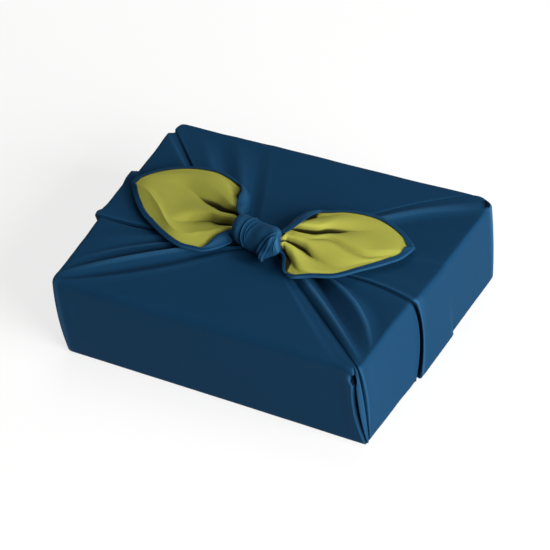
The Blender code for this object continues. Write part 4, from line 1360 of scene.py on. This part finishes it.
RIGHT_RIBS = (
    Rib(0.0, (14.0, -19.0, 11.0), (13.0, -9.0, 15.0),
        (15.0, -17.5, 12.5), (15.0, -11.0, 17.5)),
    Rib(0.08, (26.0, -20.5, 8.5), (18.0, 5.0, 14.0),
        (27.6, -18.6, 11.6), (26.4, -4.5, 21.0)),
    Rib(0.2, (31.0, -24.5, 5.6), (17.6, 21.6, 10.4),
        (35.0, -24.0, 12.0), (30.0, 9.4, 19.0)),
    Rib(0.3, (34.6, -30.5, 5.0), (21.0, 30.2, 10.0),
        (37.7, -30.0, 10.6), (31.6, 20.4, 17.0)),
    Rib(0.4, (39.3, -36.2, 4.8), (27.8, 36.0, 9.8),
        (41.2, -35.8, 8.6), (33.4, 30.2, 14.0)),
    Rib(0.46, (44.0, -38.6, 4.8), (34.4, 39.4, 9.6),
        (44.8, -37.4, 6.4), (37.0, 36.6, 12.0)),
    Rib(0.52, (50.3, -39.3, 5.8), (41.8, 42.0, 9.8)),
    Rib(0.6, (63.0, -33.4, 6.0), (52.1, 46.6, 9.6)),
    Rib(0.7, (82.6, -25.7, 6.0), (68.5, 50.4, 9.0)),
    Rib(0.8, (99.6, -10.5, 6.0), (85.9, 51.4, 7.4)),
    Rib(0.9, (115.2, 5.6, 5.0), (104.2, 46.0, 6.4)),
    Rib(0.965, (124.2, 17.6, 5.2), (116.4, 39.4, 5.6)),
    Rib(1.0, (128.0, 30.0, 5.4), (127.2, 32.0, 5.4)),
)

# Folds of the left end, from the lower edge: dip beside the lapel, lower pleat and, further
# out, the crease of the outer band, lower slit, middle pleat, upper slit, upper pleat, dip.
LEFT_SHARPNESS = ((1.6, 1.0), (1.3, 0.3), (3.0, 1.3), (0.0, 0.0), (3.0, 1.3), (0.0, 0.0),
                  (2.4, 2.8))
LEFT_CUTS = (
    Cut(0.0, ((0.12, 11.0), (0.24, 14.8), (0.36, 9.6), (0.49, 16.0), (0.61, 10.0),
              (0.71, 16.8), (0.84, 10.0))),
    Cut(0.1, ((0.12, 9.0), (0.24, 15.0), (0.36, 8.0), (0.48, 16.4), (0.61, 8.4),
              (0.71, 17.2), (0.84, 6.6))),
    Cut(0.2, ((0.13, 6.4), (0.25, 14.2), (0.36, 6.6), (0.46, 16.0), (0.59, 6.4),
              (0.68, 16.4), (0.82, 5.6))),
    Cut(0.3, ((0.13, 5.6), (0.25, 13.0), (0.375, 5.4), (0.455, 15.2), (0.570, 5.2),
              (0.64, 15.6), (0.78, 6.4))),
    Cut(0.4, ((0.12, 5.2), (0.25, 11.8), (0.39, 5.2), (0.455, 14.4), (0.555, 4.8),
              (0.65, 14.8), (0.81, 8.2))),
    Cut(0.5, ((0.07, 5.6), (0.21, 10.0), (0.40, 5.6), (0.46, 13.0), (0.560, 5.8),
              (0.72, 13.0), (0.90, 8.8))),
    Cut(0.6, ((0.06, 5.6), (0.135, 8.8), (0.32, 6.4), (0.42, 11.6), (0.595, 7.2),
              (0.78, 11.4), (0.93, 8.6))),
    Cut(0.7, ((0.05, 5.8), (0.14, 9.8), (0.22, 9.0), (0.35, 10.2), (0.70, 7.2),
              (0.85, 9.2), (0.94, 7.8))),
    Cut(0.8, ((0.10, 6.0), (0.31, 10.8), (0.37, 10.3), (0.50, 9.6), (0.73, 7.8),
              (0.85, 8.1), (0.94, 7.2))),
    Cut(0.9, ((0.14, 6.0), (0.48, 10.0), (0.54, 9.6), (0.62, 8.9), (0.74, 7.8),
              (0.85, 7.2), (0.94, 6.6))),
    Cut(1.0, ((0.14, 5.6), (0.42, 6.2), (0.50, 6.2), (0.60, 6.2), (0.74, 6.0),
              (0.85, 5.8), (0.94, 5.6))),
)

# Folds of the right end, from the lower edge: hollow beside the rim, lower pleat, lower slit,
# middle pleat, diagonal crease, the ridge behind it, upper slit, upper pleat, dip.
RIGHT_SHARPNESS = ((2.4, 2.4), (0.0, 0.0), (3.0, 2.2), (0.0, 0.0), (1.8, 1.2), (0.2, 0.0),
                   (3.0, 1.3), (0.0, 0.0), (1.6, 2.0))
RIGHT_CUTS = (
    Cut(0.0, ((0.14, 9.0), (0.25, 14.6), (0.33, 10.0), (0.45, 15.6), (0.50, 15.6),
              (0.54, 15.4), (0.61, 10.0), (0.69, 14.4), (0.82, 11.0))),
    Cut(0.1, ((0.17, 6.0), (0.27, 14.8), (0.34, 8.4), (0.46, 16.2), (0.51, 16.0),
              (0.55, 15.4), (0.62, 8.4), (0.68, 14.0), (0.84, 9.0))),
    Cut(0.2, ((0.18, 5.2), (0.285, 14.4), (0.35, 6.8), (0.46, 15.8), (0.51, 15.6),
              (0.56, 15.0), (0.61, 6.8), (0.67, 14.0), (0.85, 6.6))),
    Cut(0.3, ((0.20, 5.2), (0.31, 13.6), (0.375, 5.8), (0.46, 15.0), (0.51, 14.8),
              (0.55, 14.4), (0.605, 6.0), (0.69, 15.0), (0.85, 7.4))),
    Cut(0.4, ((0.20, 5.0), (0.32, 12.4), (0.40, 5.2), (0.48, 14.4), (0.515, 14.0),
              (0.55, 13.6), (0.605, 5.0), (0.70, 14.8), (0.87, 8.6))),
    Cut(0.5, ((0.13, 5.4), (0.235, 9.8), (0.39, 5.2), (0.475, 13.0), (0.52, 12.2),
              (0.555, 12.4), (0.62, 5.6), (0.73, 13.2), (0.90, 9.8))),
    Cut(0.6, ((0.05, 6.0), (0.11, 7.4), (0.25, 6.2), (0.455, 11.8), (0.525, 9.8),
              (0.575, 12.0), (0.64, 7.4), (0.82, 11.4), (0.94, 9.8))),
    Cut(0.7, ((0.05, 6.0), (0.09, 6.6), (0.14, 6.6), (0.34, 9.6), (0.415, 8.0),
              (0.50, 11.0), (0.71, 8.2), (0.86, 9.8), (0.94, 9.2))),
    Cut(0.8, ((0.05, 6.0), (0.09, 6.4), (0.13, 6.6), (0.19, 7.6), (0.25, 7.0),
              (0.36, 9.4), (0.72, 8.4), (0.85, 8.4), (0.94, 7.6))),
    Cut(0.9, ((0.05, 5.4), (0.09, 5.7), (0.13, 6.0), (0.17, 6.3), (0.21, 6.6),
              (0.34, 8.4), (0.70, 7.8), (0.84, 7.2), (0.94, 6.6))),
    Cut(1.0, ((0.05, 5.4), (0.09, 5.5), (0.13, 5.6), (0.17, 5.7), (0.21, 5.8),
              (0.34, 6.0), (0.70, 6.0), (0.84, 5.8), (0.94, 5.6))),
)


class End(Enum):
    """The two free ends."""

    LEFT = "left"
    RIGHT = "right"


class Edge(Enum):
    """The two edges of a free end; the value is the way that the edge faces along Y."""

    LOWER = -1.0
    UPPER = 1.0


@dataclass(frozen=True)
class LiningShade:
    """How hidden a lining is, beyond its own ridges and hollows.

    Attributes:
        wall: share of the measured hollow that is painted as shade.
        slit: how dark the bottom of a slit is painted, as painted shade.
        slit_depth: depths between which a slit is painted dark.
        hem: how dark the lining is painted right beside a hem, as the hem's painted shadow.
        hem_reach: distances from the hem between which that painted shadow fades.
        root: how dark the lining is painted where it comes out of the knot, as painted shade.
        root_end: stations between which that fades.
    """

    wall: float = 0.72
    slit: float = 0.62
    slit_depth: tuple[float, float] = (1.9, 5.2)
    hem: float = 0.48
    hem_reach: tuple[float, float] = (0.1, 1.5)
    root: float = 0.42
    root_end: tuple[float, float] = (0.07, 0.21)


@dataclass
class FreeEnd:
    """A free end of the cloth: a navy ply with hems and lapels, and the lining inside it.

    Attributes:
        end: which of the two.
        ribs: its cross-sections.
        cuts: the folds met on its cross-sections.
        sharpness: for each fold the slopes below and above it: 0 is round, 1 straight, up to 3
            for the wall of a slit.
        base: height of the bundle's top.
        ply_area: area of the ply's cloth laid flat, in square metres; not used in this script.
        lining_area: area of the lining's cloth laid flat, in square metres; not used in this
            script.
        shade: the painted shade and painted shadow in the lining.
        rows: rows of the mesh from the knot to the tip.
        body_columns: columns across the lining, twice those across the underside.
        hem_columns: columns across a hem or lapel.
        fold_columns: columns round a folded edge.
        ply: thickness of the navy ply.
        lining: thickness of the lining.
        lining_lift: height of the lining's face above the middle of the free end.
        lining_inset: distance from the lining's sides to the edges, at the tip and the knot.
        inset_change: stations between which that distance changes.
        lining_end: station where the lining stops, under the hems.
        hem_lift: height of the hem's face above the middle of the free end.
        under_drop: depth of the navy underside below the middle of the free end.
        lower_hem: width of the hem on the lower edge, along the end and at its tip.
        upper_hem: width of the hem on the upper edge, along the end and at its tip.
        hem_change: stations between which those widths change.
        tip_hem: stations between which both hems widen until they meet.
        tip_close: station from which the hems sink onto the underside.
        fold_radius: how far a folded edge bulges past its ply.
        lapel_bulge: how far a lapel bulges between the edge and its rim.
        lapel_end: stations between which the lapels become hems.
        slit_slope: slope above which a fold is the wall of a slit.
        slit_end: stations between which such slopes soften.
        widest: most that a folded edge, a margin of the lining and a hem take of a row.
        least_slant: least sine of the angle between a row and an edge that a hem counts.
        ply_relief: how the ply's ridges and hollows are measured.
        lining_relief: how the lining's are measured.
    """

    end: End
    ribs: tuple[Rib, ...]
    cuts: tuple[Cut, ...]
    sharpness: tuple[tuple[float, float], ...]
    base: float
    ply_area: float
    lining_area: float
    shade: LiningShade = LiningShade()
    rows: int = 200
    body_columns: int = 190
    hem_columns: int = 12
    fold_columns: int = 7
    ply: float = 0.3
    lining: float = 0.3
    lining_lift: float = 1.0
    lining_inset: tuple[float, float] = (1.6, 6.0)
    inset_change: tuple[float, float] = (0.12, 0.35)
    lining_end: float = 0.979
    hem_lift: float = 1.8
    under_drop: float = 0.7
    lower_hem: tuple[float, float] = (3.6, 4.6)
    upper_hem: tuple[float, float] = (3.2, 4.2)
    hem_change: tuple[float, float] = (0.6, 0.95)
    tip_hem: tuple[float, float] = (0.945, 0.976)
    tip_close: float = 0.985
    fold_radius: float = 1.1
    lapel_bulge: float = 1.6
    lapel_end: tuple[float, float] = (0.40, 0.53)
    slit_slope: float = 1.5
    slit_end: tuple[float, float] = (0.5, 0.8)
    widest: tuple[float, float, float] = (0.3, 0.24, 0.495)
    least_slant: float = 0.3
    ply_relief: Relief = Relief((0, 2), 0.7, (2, 4, 8))
    lining_relief: Relief = Relief((0, 3), 0.8, (2, 5, 9, 14, 20))

    @property
    def stations(self) -> Array:
        """Stations of the rows, from the knot to the tip."""
        return np.linspace(0.0, 1.0, self.rows)

    @property
    def width(self) -> Array:
        """The distance from edge to edge at each row."""
        lower, upper = self.edges()
        return np.linalg.norm(upper - lower, axis=1)

    @property
    def fold_inset(self) -> Array:
        """The share of each row that a folded edge takes, rows x 1."""
        return np.minimum(self.fold_radius / self.width, self.widest[0])[:, None]

    def edges(self) -> tuple[Array, Array]:
        """Read the lower and upper edge at the rows, each on a smooth curve."""
        table = smooth_rows([rib.station for rib in self.ribs],
                            [(*rib.lower, *rib.upper) for rib in self.ribs], self.stations)
        return table[:, :3], table[:, 3:6]

    def lapel_rims(self) -> tuple[Array, Array]:
        """Read the rims of both lapels at the rows, held still past their last rib.

        Returns:
            The lower and the upper rim, each rows x 3.
        """
        folded = [rib for rib in self.ribs if rib.lower_lapel]
        at = np.clip(self.stations, 0.0, folded[-1].station)
        table = smooth_rows([rib.station for rib in folded],
                            [(*rib.lower_lapel, *rib.upper_lapel) for rib in folded], at)
        table[:, (2, 5)] += self.base
        return table[:, :3], table[:, 3:]

    def folds(self) -> tuple[Array, Array]:
        """Read the folds at the rows, each on a smooth curve.

        Returns:
            Their places with both edges' places round them, and their heights.
        """
        table = smooth_rows([cut.station for cut in self.cuts],
                            [np.ravel(cut.folds) for cut in self.cuts], self.stations)
        ends = np.ones((self.rows, 1))
        return np.hstack((0.0 * ends, table[:, 0::2], ends)), table[:, 1::2]

    def fold_heights(self, places: Array) -> Array:
        """Work out the heights of the folded cloth.

        Formula: across a row the height runs from fold to fold on a cubic that is level at a
        round fold and steep at a slit; towards the tip the steep slopes become level too.

        Args:
            places: rows x columns, from 0 at the lower edge to 1 at the upper one.

        Returns:
            Heights above the bundle's top, rows x columns.
        """
        lower, upper = self.edges()
        at, height = self.folds()
        height = np.hstack((lower[:, 2:], height, upper[:, 2:]))
        softened = 1.0 - ease(self.stations, *self.slit_end)[:, None]
        ends = np.ones((self.rows, 1))
        arriving, leaving = (
            np.hstack((ends, np.where(np.array(side) > self.slit_slope, softened, 1.0) * side,
                       ends))
            for side in zip(*self.sharpness))
        result = height[:, :1] + 0.0 * places
        for fold in range(at.shape[1] - 1):
            start, end = at[:, fold, None], at[:, fold + 1, None]
            share = np.clip((places - start) / (end - start), 0.0, 1.0)
            eased = sloped_ease(share, leaving[:, fold, None], arriving[:, fold + 1, None])
            result += (height[:, fold + 1] - height[:, fold])[:, None] * eased
        return result

    def slit_depths(self, places: Array) -> Array:
        """Work out how deep the cloth lies between the pleats on its two sides.

        Formula: between the neighbours of each fold that lies lower than both, the depth is
        the lower neighbour's height less the cloth's.  Near the knot the lapels' rims count
        as the outermost neighbours.

        Args:
            places: rows x columns, from 0 at the lower edge to 1 at the upper one.

        Returns:
            Depths, rows x columns; 0 on the pleats.
        """
        weight = 1.0 - ease(self.stations, *self.lapel_end)
        sides = [edge[:, 2] + (rim[:, 2] - self.base - edge[:, 2]) * weight
                 for edge, rim in zip(self.edges(), self.lapel_rims())]
        at, height = self.folds()
        height = np.column_stack((sides[0], height, sides[1]))
        cloth = self.fold_heights(places)
        depth = np.zeros_like(cloth)
        for fold in range(1, at.shape[1] - 1):
            level = np.minimum(height[:, fold - 1], height[:, fold + 1])[:, None]
            inside = (places > at[:, fold - 1, None]) & (places < at[:, fold + 1, None])
            valley = (height[:, fold, None] < level) & inside
            depth = np.maximum(depth, np.where(valley, level - cloth, 0.0))
        return depth

    def body(self, places: Array) -> Array:
        """Work out the middle of the free end.

        Formula: in plan straight from edge to edge, in height on the folds.

        Args:
            places: rows x columns, from 0 at the lower edge to 1 at the upper one.

        Returns:
            Points, rows x columns x 3.
        """
        lower, upper = self.edges()
        points = lower[:, None] + (upper - lower)[:, None] * places[..., None]
        points[..., 2] = self.base + self.fold_heights(places)
        return points

    def hem_share(self, edge: Edge) -> Array:
        """Work out the share of each row that a hem takes.

        Formula: the hem's width square to the edge, divided by the sine of the angle between
        row and edge and by the row's length; towards the tip it grows to nearly a half.

        Args:
            edge: the edge that the hem lies on.

        Returns:
            The shares, rows x 1.
        """
        is_upper = edge is Edge.UPPER
        first, last = self.upper_hem if is_upper else self.lower_hem
        hem = first + (last - first) * ease(self.stations, *self.hem_change)
        lower, upper = self.edges()
        row = unit(upper - lower)
        run = unit(np.gradient(upper if is_upper else lower, axis=0))
        slant = np.maximum(np.linalg.norm(np.cross(row, run), axis=1), self.least_slant)
        most = self.widest[2]
        hem = np.minimum(hem / slant / self.width, most)
        return (hem + (most - hem) * ease(self.stations, *self.tip_hem))[:, None]

    def lapel(self, foot: Array, share: Array, edge: Edge) -> Array:
        """Work out the leaf that is folded in from an edge near the knot.

        Formula: straight from the folded edge to the lapel's rim, bulged by half a sine.

        Args:
            foot: the folded edge, rows x 3.
            share: where to read the leaf, 0 at the edge and 1 at the rim, 1 x columns.
            edge: which edge it is.

        Returns:
            Points, rows x columns x 3.
        """
        rims = self.lapel_rims()[1 if edge is Edge.UPPER else 0]
        leg = rims - foot
        face = unit(np.cross(leg, np.gradient(foot + rims, axis=0)))
        face *= np.sign(face @ np.array((0.0, edge.value, 1.0)))[:, None]
        return (foot[:, None] + leg[:, None] * share[..., None]
                + face[:, None] * (self.lapel_bulge * np.sin(math.pi * share))[..., None])

    def edge_strip(self, edge: Edge) -> Array:
        """Work out a hem or lapel and the fold next to it, from the fold inwards.

        Formula: the hem follows the body at a fixed height above it, and near the knot it
        turns into the lapel.  The fold is half an ellipse from the underside to the hem.

        Args:
            edge: which edge it is.

        Returns:
            Points, rows x columns x 3, from the underside round the fold to the rim.
        """
        is_upper = edge is Edge.UPPER
        inset = self.fold_inset
        share = np.linspace(0.0, 1.0, self.hem_columns)[None, :]
        places = inset + (self.hem_share(edge) - inset) * share
        strip = self.body(1.0 - places if is_upper else places)
        tip = 1.0 - ease(self.stations, self.tip_close, 1.0)[:, None] ** 2
        strip[..., 2] += self.hem_lift * tip - self.under_drop * (1.0 - tip)
        weight = (1.0 - ease(self.stations, *self.lapel_end))[:, None, None]
        strip = strip + (self.lapel(strip[:, 0], share, edge) - strip) * weight
        start = self.body(1.0 - inset if is_upper else inset)[:, 0]
        start[:, 2] -= self.under_drop
        lower, upper = self.edges()
        out = unit(upper - lower) * edge.value
        turn = np.linspace(0.0, math.pi, self.fold_columns + 2)[1:-1]
        middle = (start + strip[:, 0]) / 2
        half = (strip[:, 0] - start) / 2
        fold = (middle[:, None] - half[:, None] * np.cos(turn)[None, :, None]
                + out[:, None] * (self.fold_radius * np.sin(turn))[None, :, None]
                * tip[..., None])
        return np.concatenate((fold, strip), axis=1)

    def navy_surface(self) -> Surface:
        """Join the lower strip, the underside and the upper strip into one sheet.

        Formula: the underside follows the body at a fixed depth below it.

        Returns:
            The ply's grid.
        """
        inset = self.fold_inset
        places = inset + (1.0 - 2.0 * inset) * np.linspace(0.0, 1.0, self.body_columns // 2)
        under = self.body(places)
        under[..., 2] -= self.under_drop
        points = np.concatenate((self.edge_strip(Edge.LOWER)[:, ::-1], under,
                                 self.edge_strip(Edge.UPPER)), axis=1)
        if self.end is End.RIGHT:
            points = points[:, ::-1]
        return Surface(points, self._measure(points), self.ply_relief.read(points, closed=False))

    def lining_surface(self) -> Surface:
        """Lay the lining on the ply, with its edges under the hems.

        Formula: the lining follows the body at a fixed height above it.  Its crest is the
        measured one, with painted shade in slits, a painted shadow beside the hems and painted
        shade where it comes out of the knot.

        Returns:
            The lining's grid, up to where the hems meet.
        """
        tip, knot = self.lining_inset
        margin = knot + (tip - knot) * ease(self.stations, *self.inset_change)
        margin = np.minimum(margin / self.width, self.widest[1])[:, None]
        places = margin + (1.0 - 2.0 * margin) * np.linspace(0.0, 1.0, self.body_columns)
        if self.end is End.LEFT:
            places = places[:, ::-1]
        shown = self.stations < self.lining_end
        points = self.body(places)[shown]
        points[..., 2] += self.lining_lift
        # Painted shade in the slits, a painted shadow beside the hems and painted shade at the
        # root.
        slit = ease(self.slit_depths(places), *self.shade.slit_depth)[shown]
        gap = np.minimum(places - self.hem_share(Edge.LOWER),
                         1.0 - self.hem_share(Edge.UPPER) - places) * self.width[:, None]
        beside = 1.0 - ease(gap, *self.shade.hem_reach)[shown]
        root = self.shade.root * (1.0 - ease(self.stations[shown], *self.shade.root_end))
        crest = self.lining_relief.read(points, closed=False)
        crest = np.where(crest < 0.0, crest * self.shade.wall, crest)
        crest = np.minimum(crest, -self.shade.slit * slit)
        crest = np.minimum(crest, -self.shade.hem * beside)
        crest = np.clip(crest - root[:, None], -1.0, 1.0)
        return Surface(points, self._measure(points), crest)

    @staticmethod
    def _measure(points: Array) -> Array:
        """Map the cloth by the way along its rows and columns.

        Formula: across, the running sum of the steps along a row, less the row's mean; along,
        the running sum of the steps between the rows' middles.

        Args:
            points: rows x columns x 3.

        Returns:
            A pair for each point, in millimetres.
        """
        across = np.linalg.norm(np.diff(points, axis=1, prepend=points[:, :1]), axis=-1)
        across = np.cumsum(across, axis=1)
        across -= across.mean(axis=1, keepdims=True)
        middle = points.mean(axis=1)
        along = np.cumsum(np.linalg.norm(np.diff(middle, axis=0, prepend=middle[:1]), axis=-1))
        return np.stack((across, np.broadcast_to(along[:, None], across.shape)), axis=-1)

    def build(self) -> tuple[bpy.types.Object, bpy.types.Object]:
        """Make the navy ply and the lining.

        Returns:
            Both finished objects.
        """
        navy = self.navy_surface().build(f"{self.end.value}_end_navy")
        thicken(navy, self.ply)
        lining = self.lining_surface().build(f"{self.end.value}_end_lining")
        thicken(lining, self.lining)
        return navy, lining


# Studio ----------------------------------------------------------------------------------
@dataclass(frozen=True)
class Lamp:
    """A square soft white light.

    Attributes:
        name: the light's name.
        place: where it hangs, in metres.
        side: its side, in metres.
        power: its power, in watts.
    """

    name: str
    place: tuple[float, float, float]
    side: float
    power: float

    def hang(self, target: tuple[float, float, float]) -> None:
        """Hang the light so that it faces a point.

        Args:
            target: the point, in metres.
        """
        data = bpy.data.lights.new(self.name, "AREA")
        data.shape = "SQUARE"
        data.size = self.side
        data.energy = self.power
        thing = bpy.data.objects.new(self.name, data)
        thing.location = self.place
        aim = Vector(target) - Vector(self.place)
        thing.rotation_euler = aim.to_track_quat("-Z", "Y").to_euler()
        bpy.context.scene.collection.objects.link(thing)


@dataclass
class Studio:
    """A pale floor, soft light and the camera.

    Attributes:
        eye: the camera's place, in metres.
        right: the view's way to the right.
        up: the view's way up.
        lens: focal length, in millimetres.
        sensor: width of the sensor, in millimetres.
        far: how far the camera sees, in metres.
        sky: strength of the even white light from all round.
        lamps: the lights.
        target: the point that they face, in metres.
        floor_half: half the floor's side, in millimetres.
        floor_grey: how pale the floor's own colour is.
        floor_tint: colour of the floor's own light.
        floor_glow: strength of that light.
    """

    eye: tuple[float, float, float] = (1.3415564, -1.7481723, 2.0260911)
    right: tuple[float, float, float] = (0.85607742, 0.49753111, -0.13997946)
    up: tuple[float, float, float] = (-0.25010752, 0.63579245, 0.73021517)
    lens: float = 229.09
    sensor: float = 36.0
    far: float = 50.0
    sky: float = 0.245
    lamps: tuple[Lamp, ...] = (Lamp("back", (-0.3, 1.6, 2.6), 1.8, 34.0),
                               Lamp("key", (2.6, -0.6, 0.98), 2.0, 268.0))
    target: tuple[float, float, float] = (0.0, 0.0, 0.05)
    floor_half: float = 20000.0
    floor_grey: float = 0.2
    floor_tint: tuple[float, float, float] = (1.0, 1.0, 0.995)
    floor_glow: float = 0.72

    def camera(self) -> None:
        """Stand the camera and make it the scene's own."""
        data = bpy.data.cameras.new("camera")
        data.lens = self.lens
        data.sensor_width = self.sensor
        data.clip_end = self.far
        thing = bpy.data.objects.new("camera", data)
        bpy.context.scene.collection.objects.link(thing)
        right = Vector(self.right).normalized()
        up = Vector(self.up).normalized()
        turn = Matrix((right, up, right.cross(up))).transposed().to_4x4()
        thing.matrix_world = Matrix.Translation(Vector(self.eye)) @ turn
        bpy.context.scene.camera = thing

    def world(self) -> None:
        """Surround everything with even white light."""
        world = bpy.data.worlds.new("studio")
        world.use_nodes = True
        background = world.node_tree.nodes["Background"]
        background.inputs["Color"].default_value = (1.0, 1.0, 1.0, 1.0)
        background.inputs["Strength"].default_value = self.sky
        bpy.context.scene.world = world
        bpy.context.scene.view_settings.view_transform = "Standard"

    def floor(self) -> bpy.types.Object:
        """Lay a wide pale floor.

        Returns:
            The floor.
        """
        places = np.array((-1.0, 1.0)) * self.floor_half
        across, back = np.meshgrid(places[::-1], places)
        points = np.stack((across, back, np.zeros((2, 2))), axis=-1)
        floor = Surface(points, points[..., :2], np.zeros((2, 2))).build("floor")
        material = bpy.data.materials.new("pale floor")
        tree = Tree(material)
        shader = tree.add("ShaderNodeBsdfPrincipled", values={
            "Base Color": (*[self.floor_grey] * 3, 1.0), "Roughness": 0.9,
            "Specular IOR Level": 0.0, "Emission Color": (*self.floor_tint, 1.0),
            "Emission Strength": self.floor_glow})
        tree.finish(shader)
        floor.data.materials.append(material)
        return floor

    def build(self) -> None:
        """Set up the whole studio."""
        self.camera()
        self.world()
        for lamp in self.lamps:
            lamp.hang(self.target)
        self.floor()


# Assembly --------------------------------------------------------------------------------
def dress(thing: bpy.types.Object, material: bpy.types.Material, node: str) -> None:
    """Finish a piece and tie it to the frame.

    Args:
        thing: the piece.
        material: its material.
        node: the solid that it stands for.
    """
    thing.data.materials.append(material)
    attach(thing, BODY)
    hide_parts(node)
    log.info("%s: %d faces, stands for %s", thing.name, len(thing.data.polygons), node)


def main() -> None:
    """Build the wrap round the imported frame."""
    logging.basicConfig(level=logging.INFO, format="%(message)s")
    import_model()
    navy = NAVY.material()
    green = GREEN.material()
    Studio().build()

    bundle = Bundle()
    bundle_cloth = bundle.build()
    dress(bundle_cloth, navy, "wrap")
    knot = Knot(base=bundle.height)
    knot_cloth = knot.build()
    dress(knot_cloth, navy, "wrap")
    left = FreeEnd(End.LEFT, LEFT_RIBS, LEFT_CUTS, LEFT_SHARPNESS, base=bundle.height,
                   ply_area=0.0125, lining_area=0.0095)
    right = FreeEnd(End.RIGHT, RIGHT_RIBS, RIGHT_CUTS, RIGHT_SHARPNESS, base=bundle.height,
                    ply_area=0.0105, lining_area=0.0078,
                    shade=LiningShade(slit_depth=(0.9, 3.2)))
    for free_end in (left, right):
        ply, lining = free_end.build()
        dress(ply, navy, "wrap")
        dress(lining, green, f"lining_{free_end.end.value}")


if __name__ == "__main__":
    main()
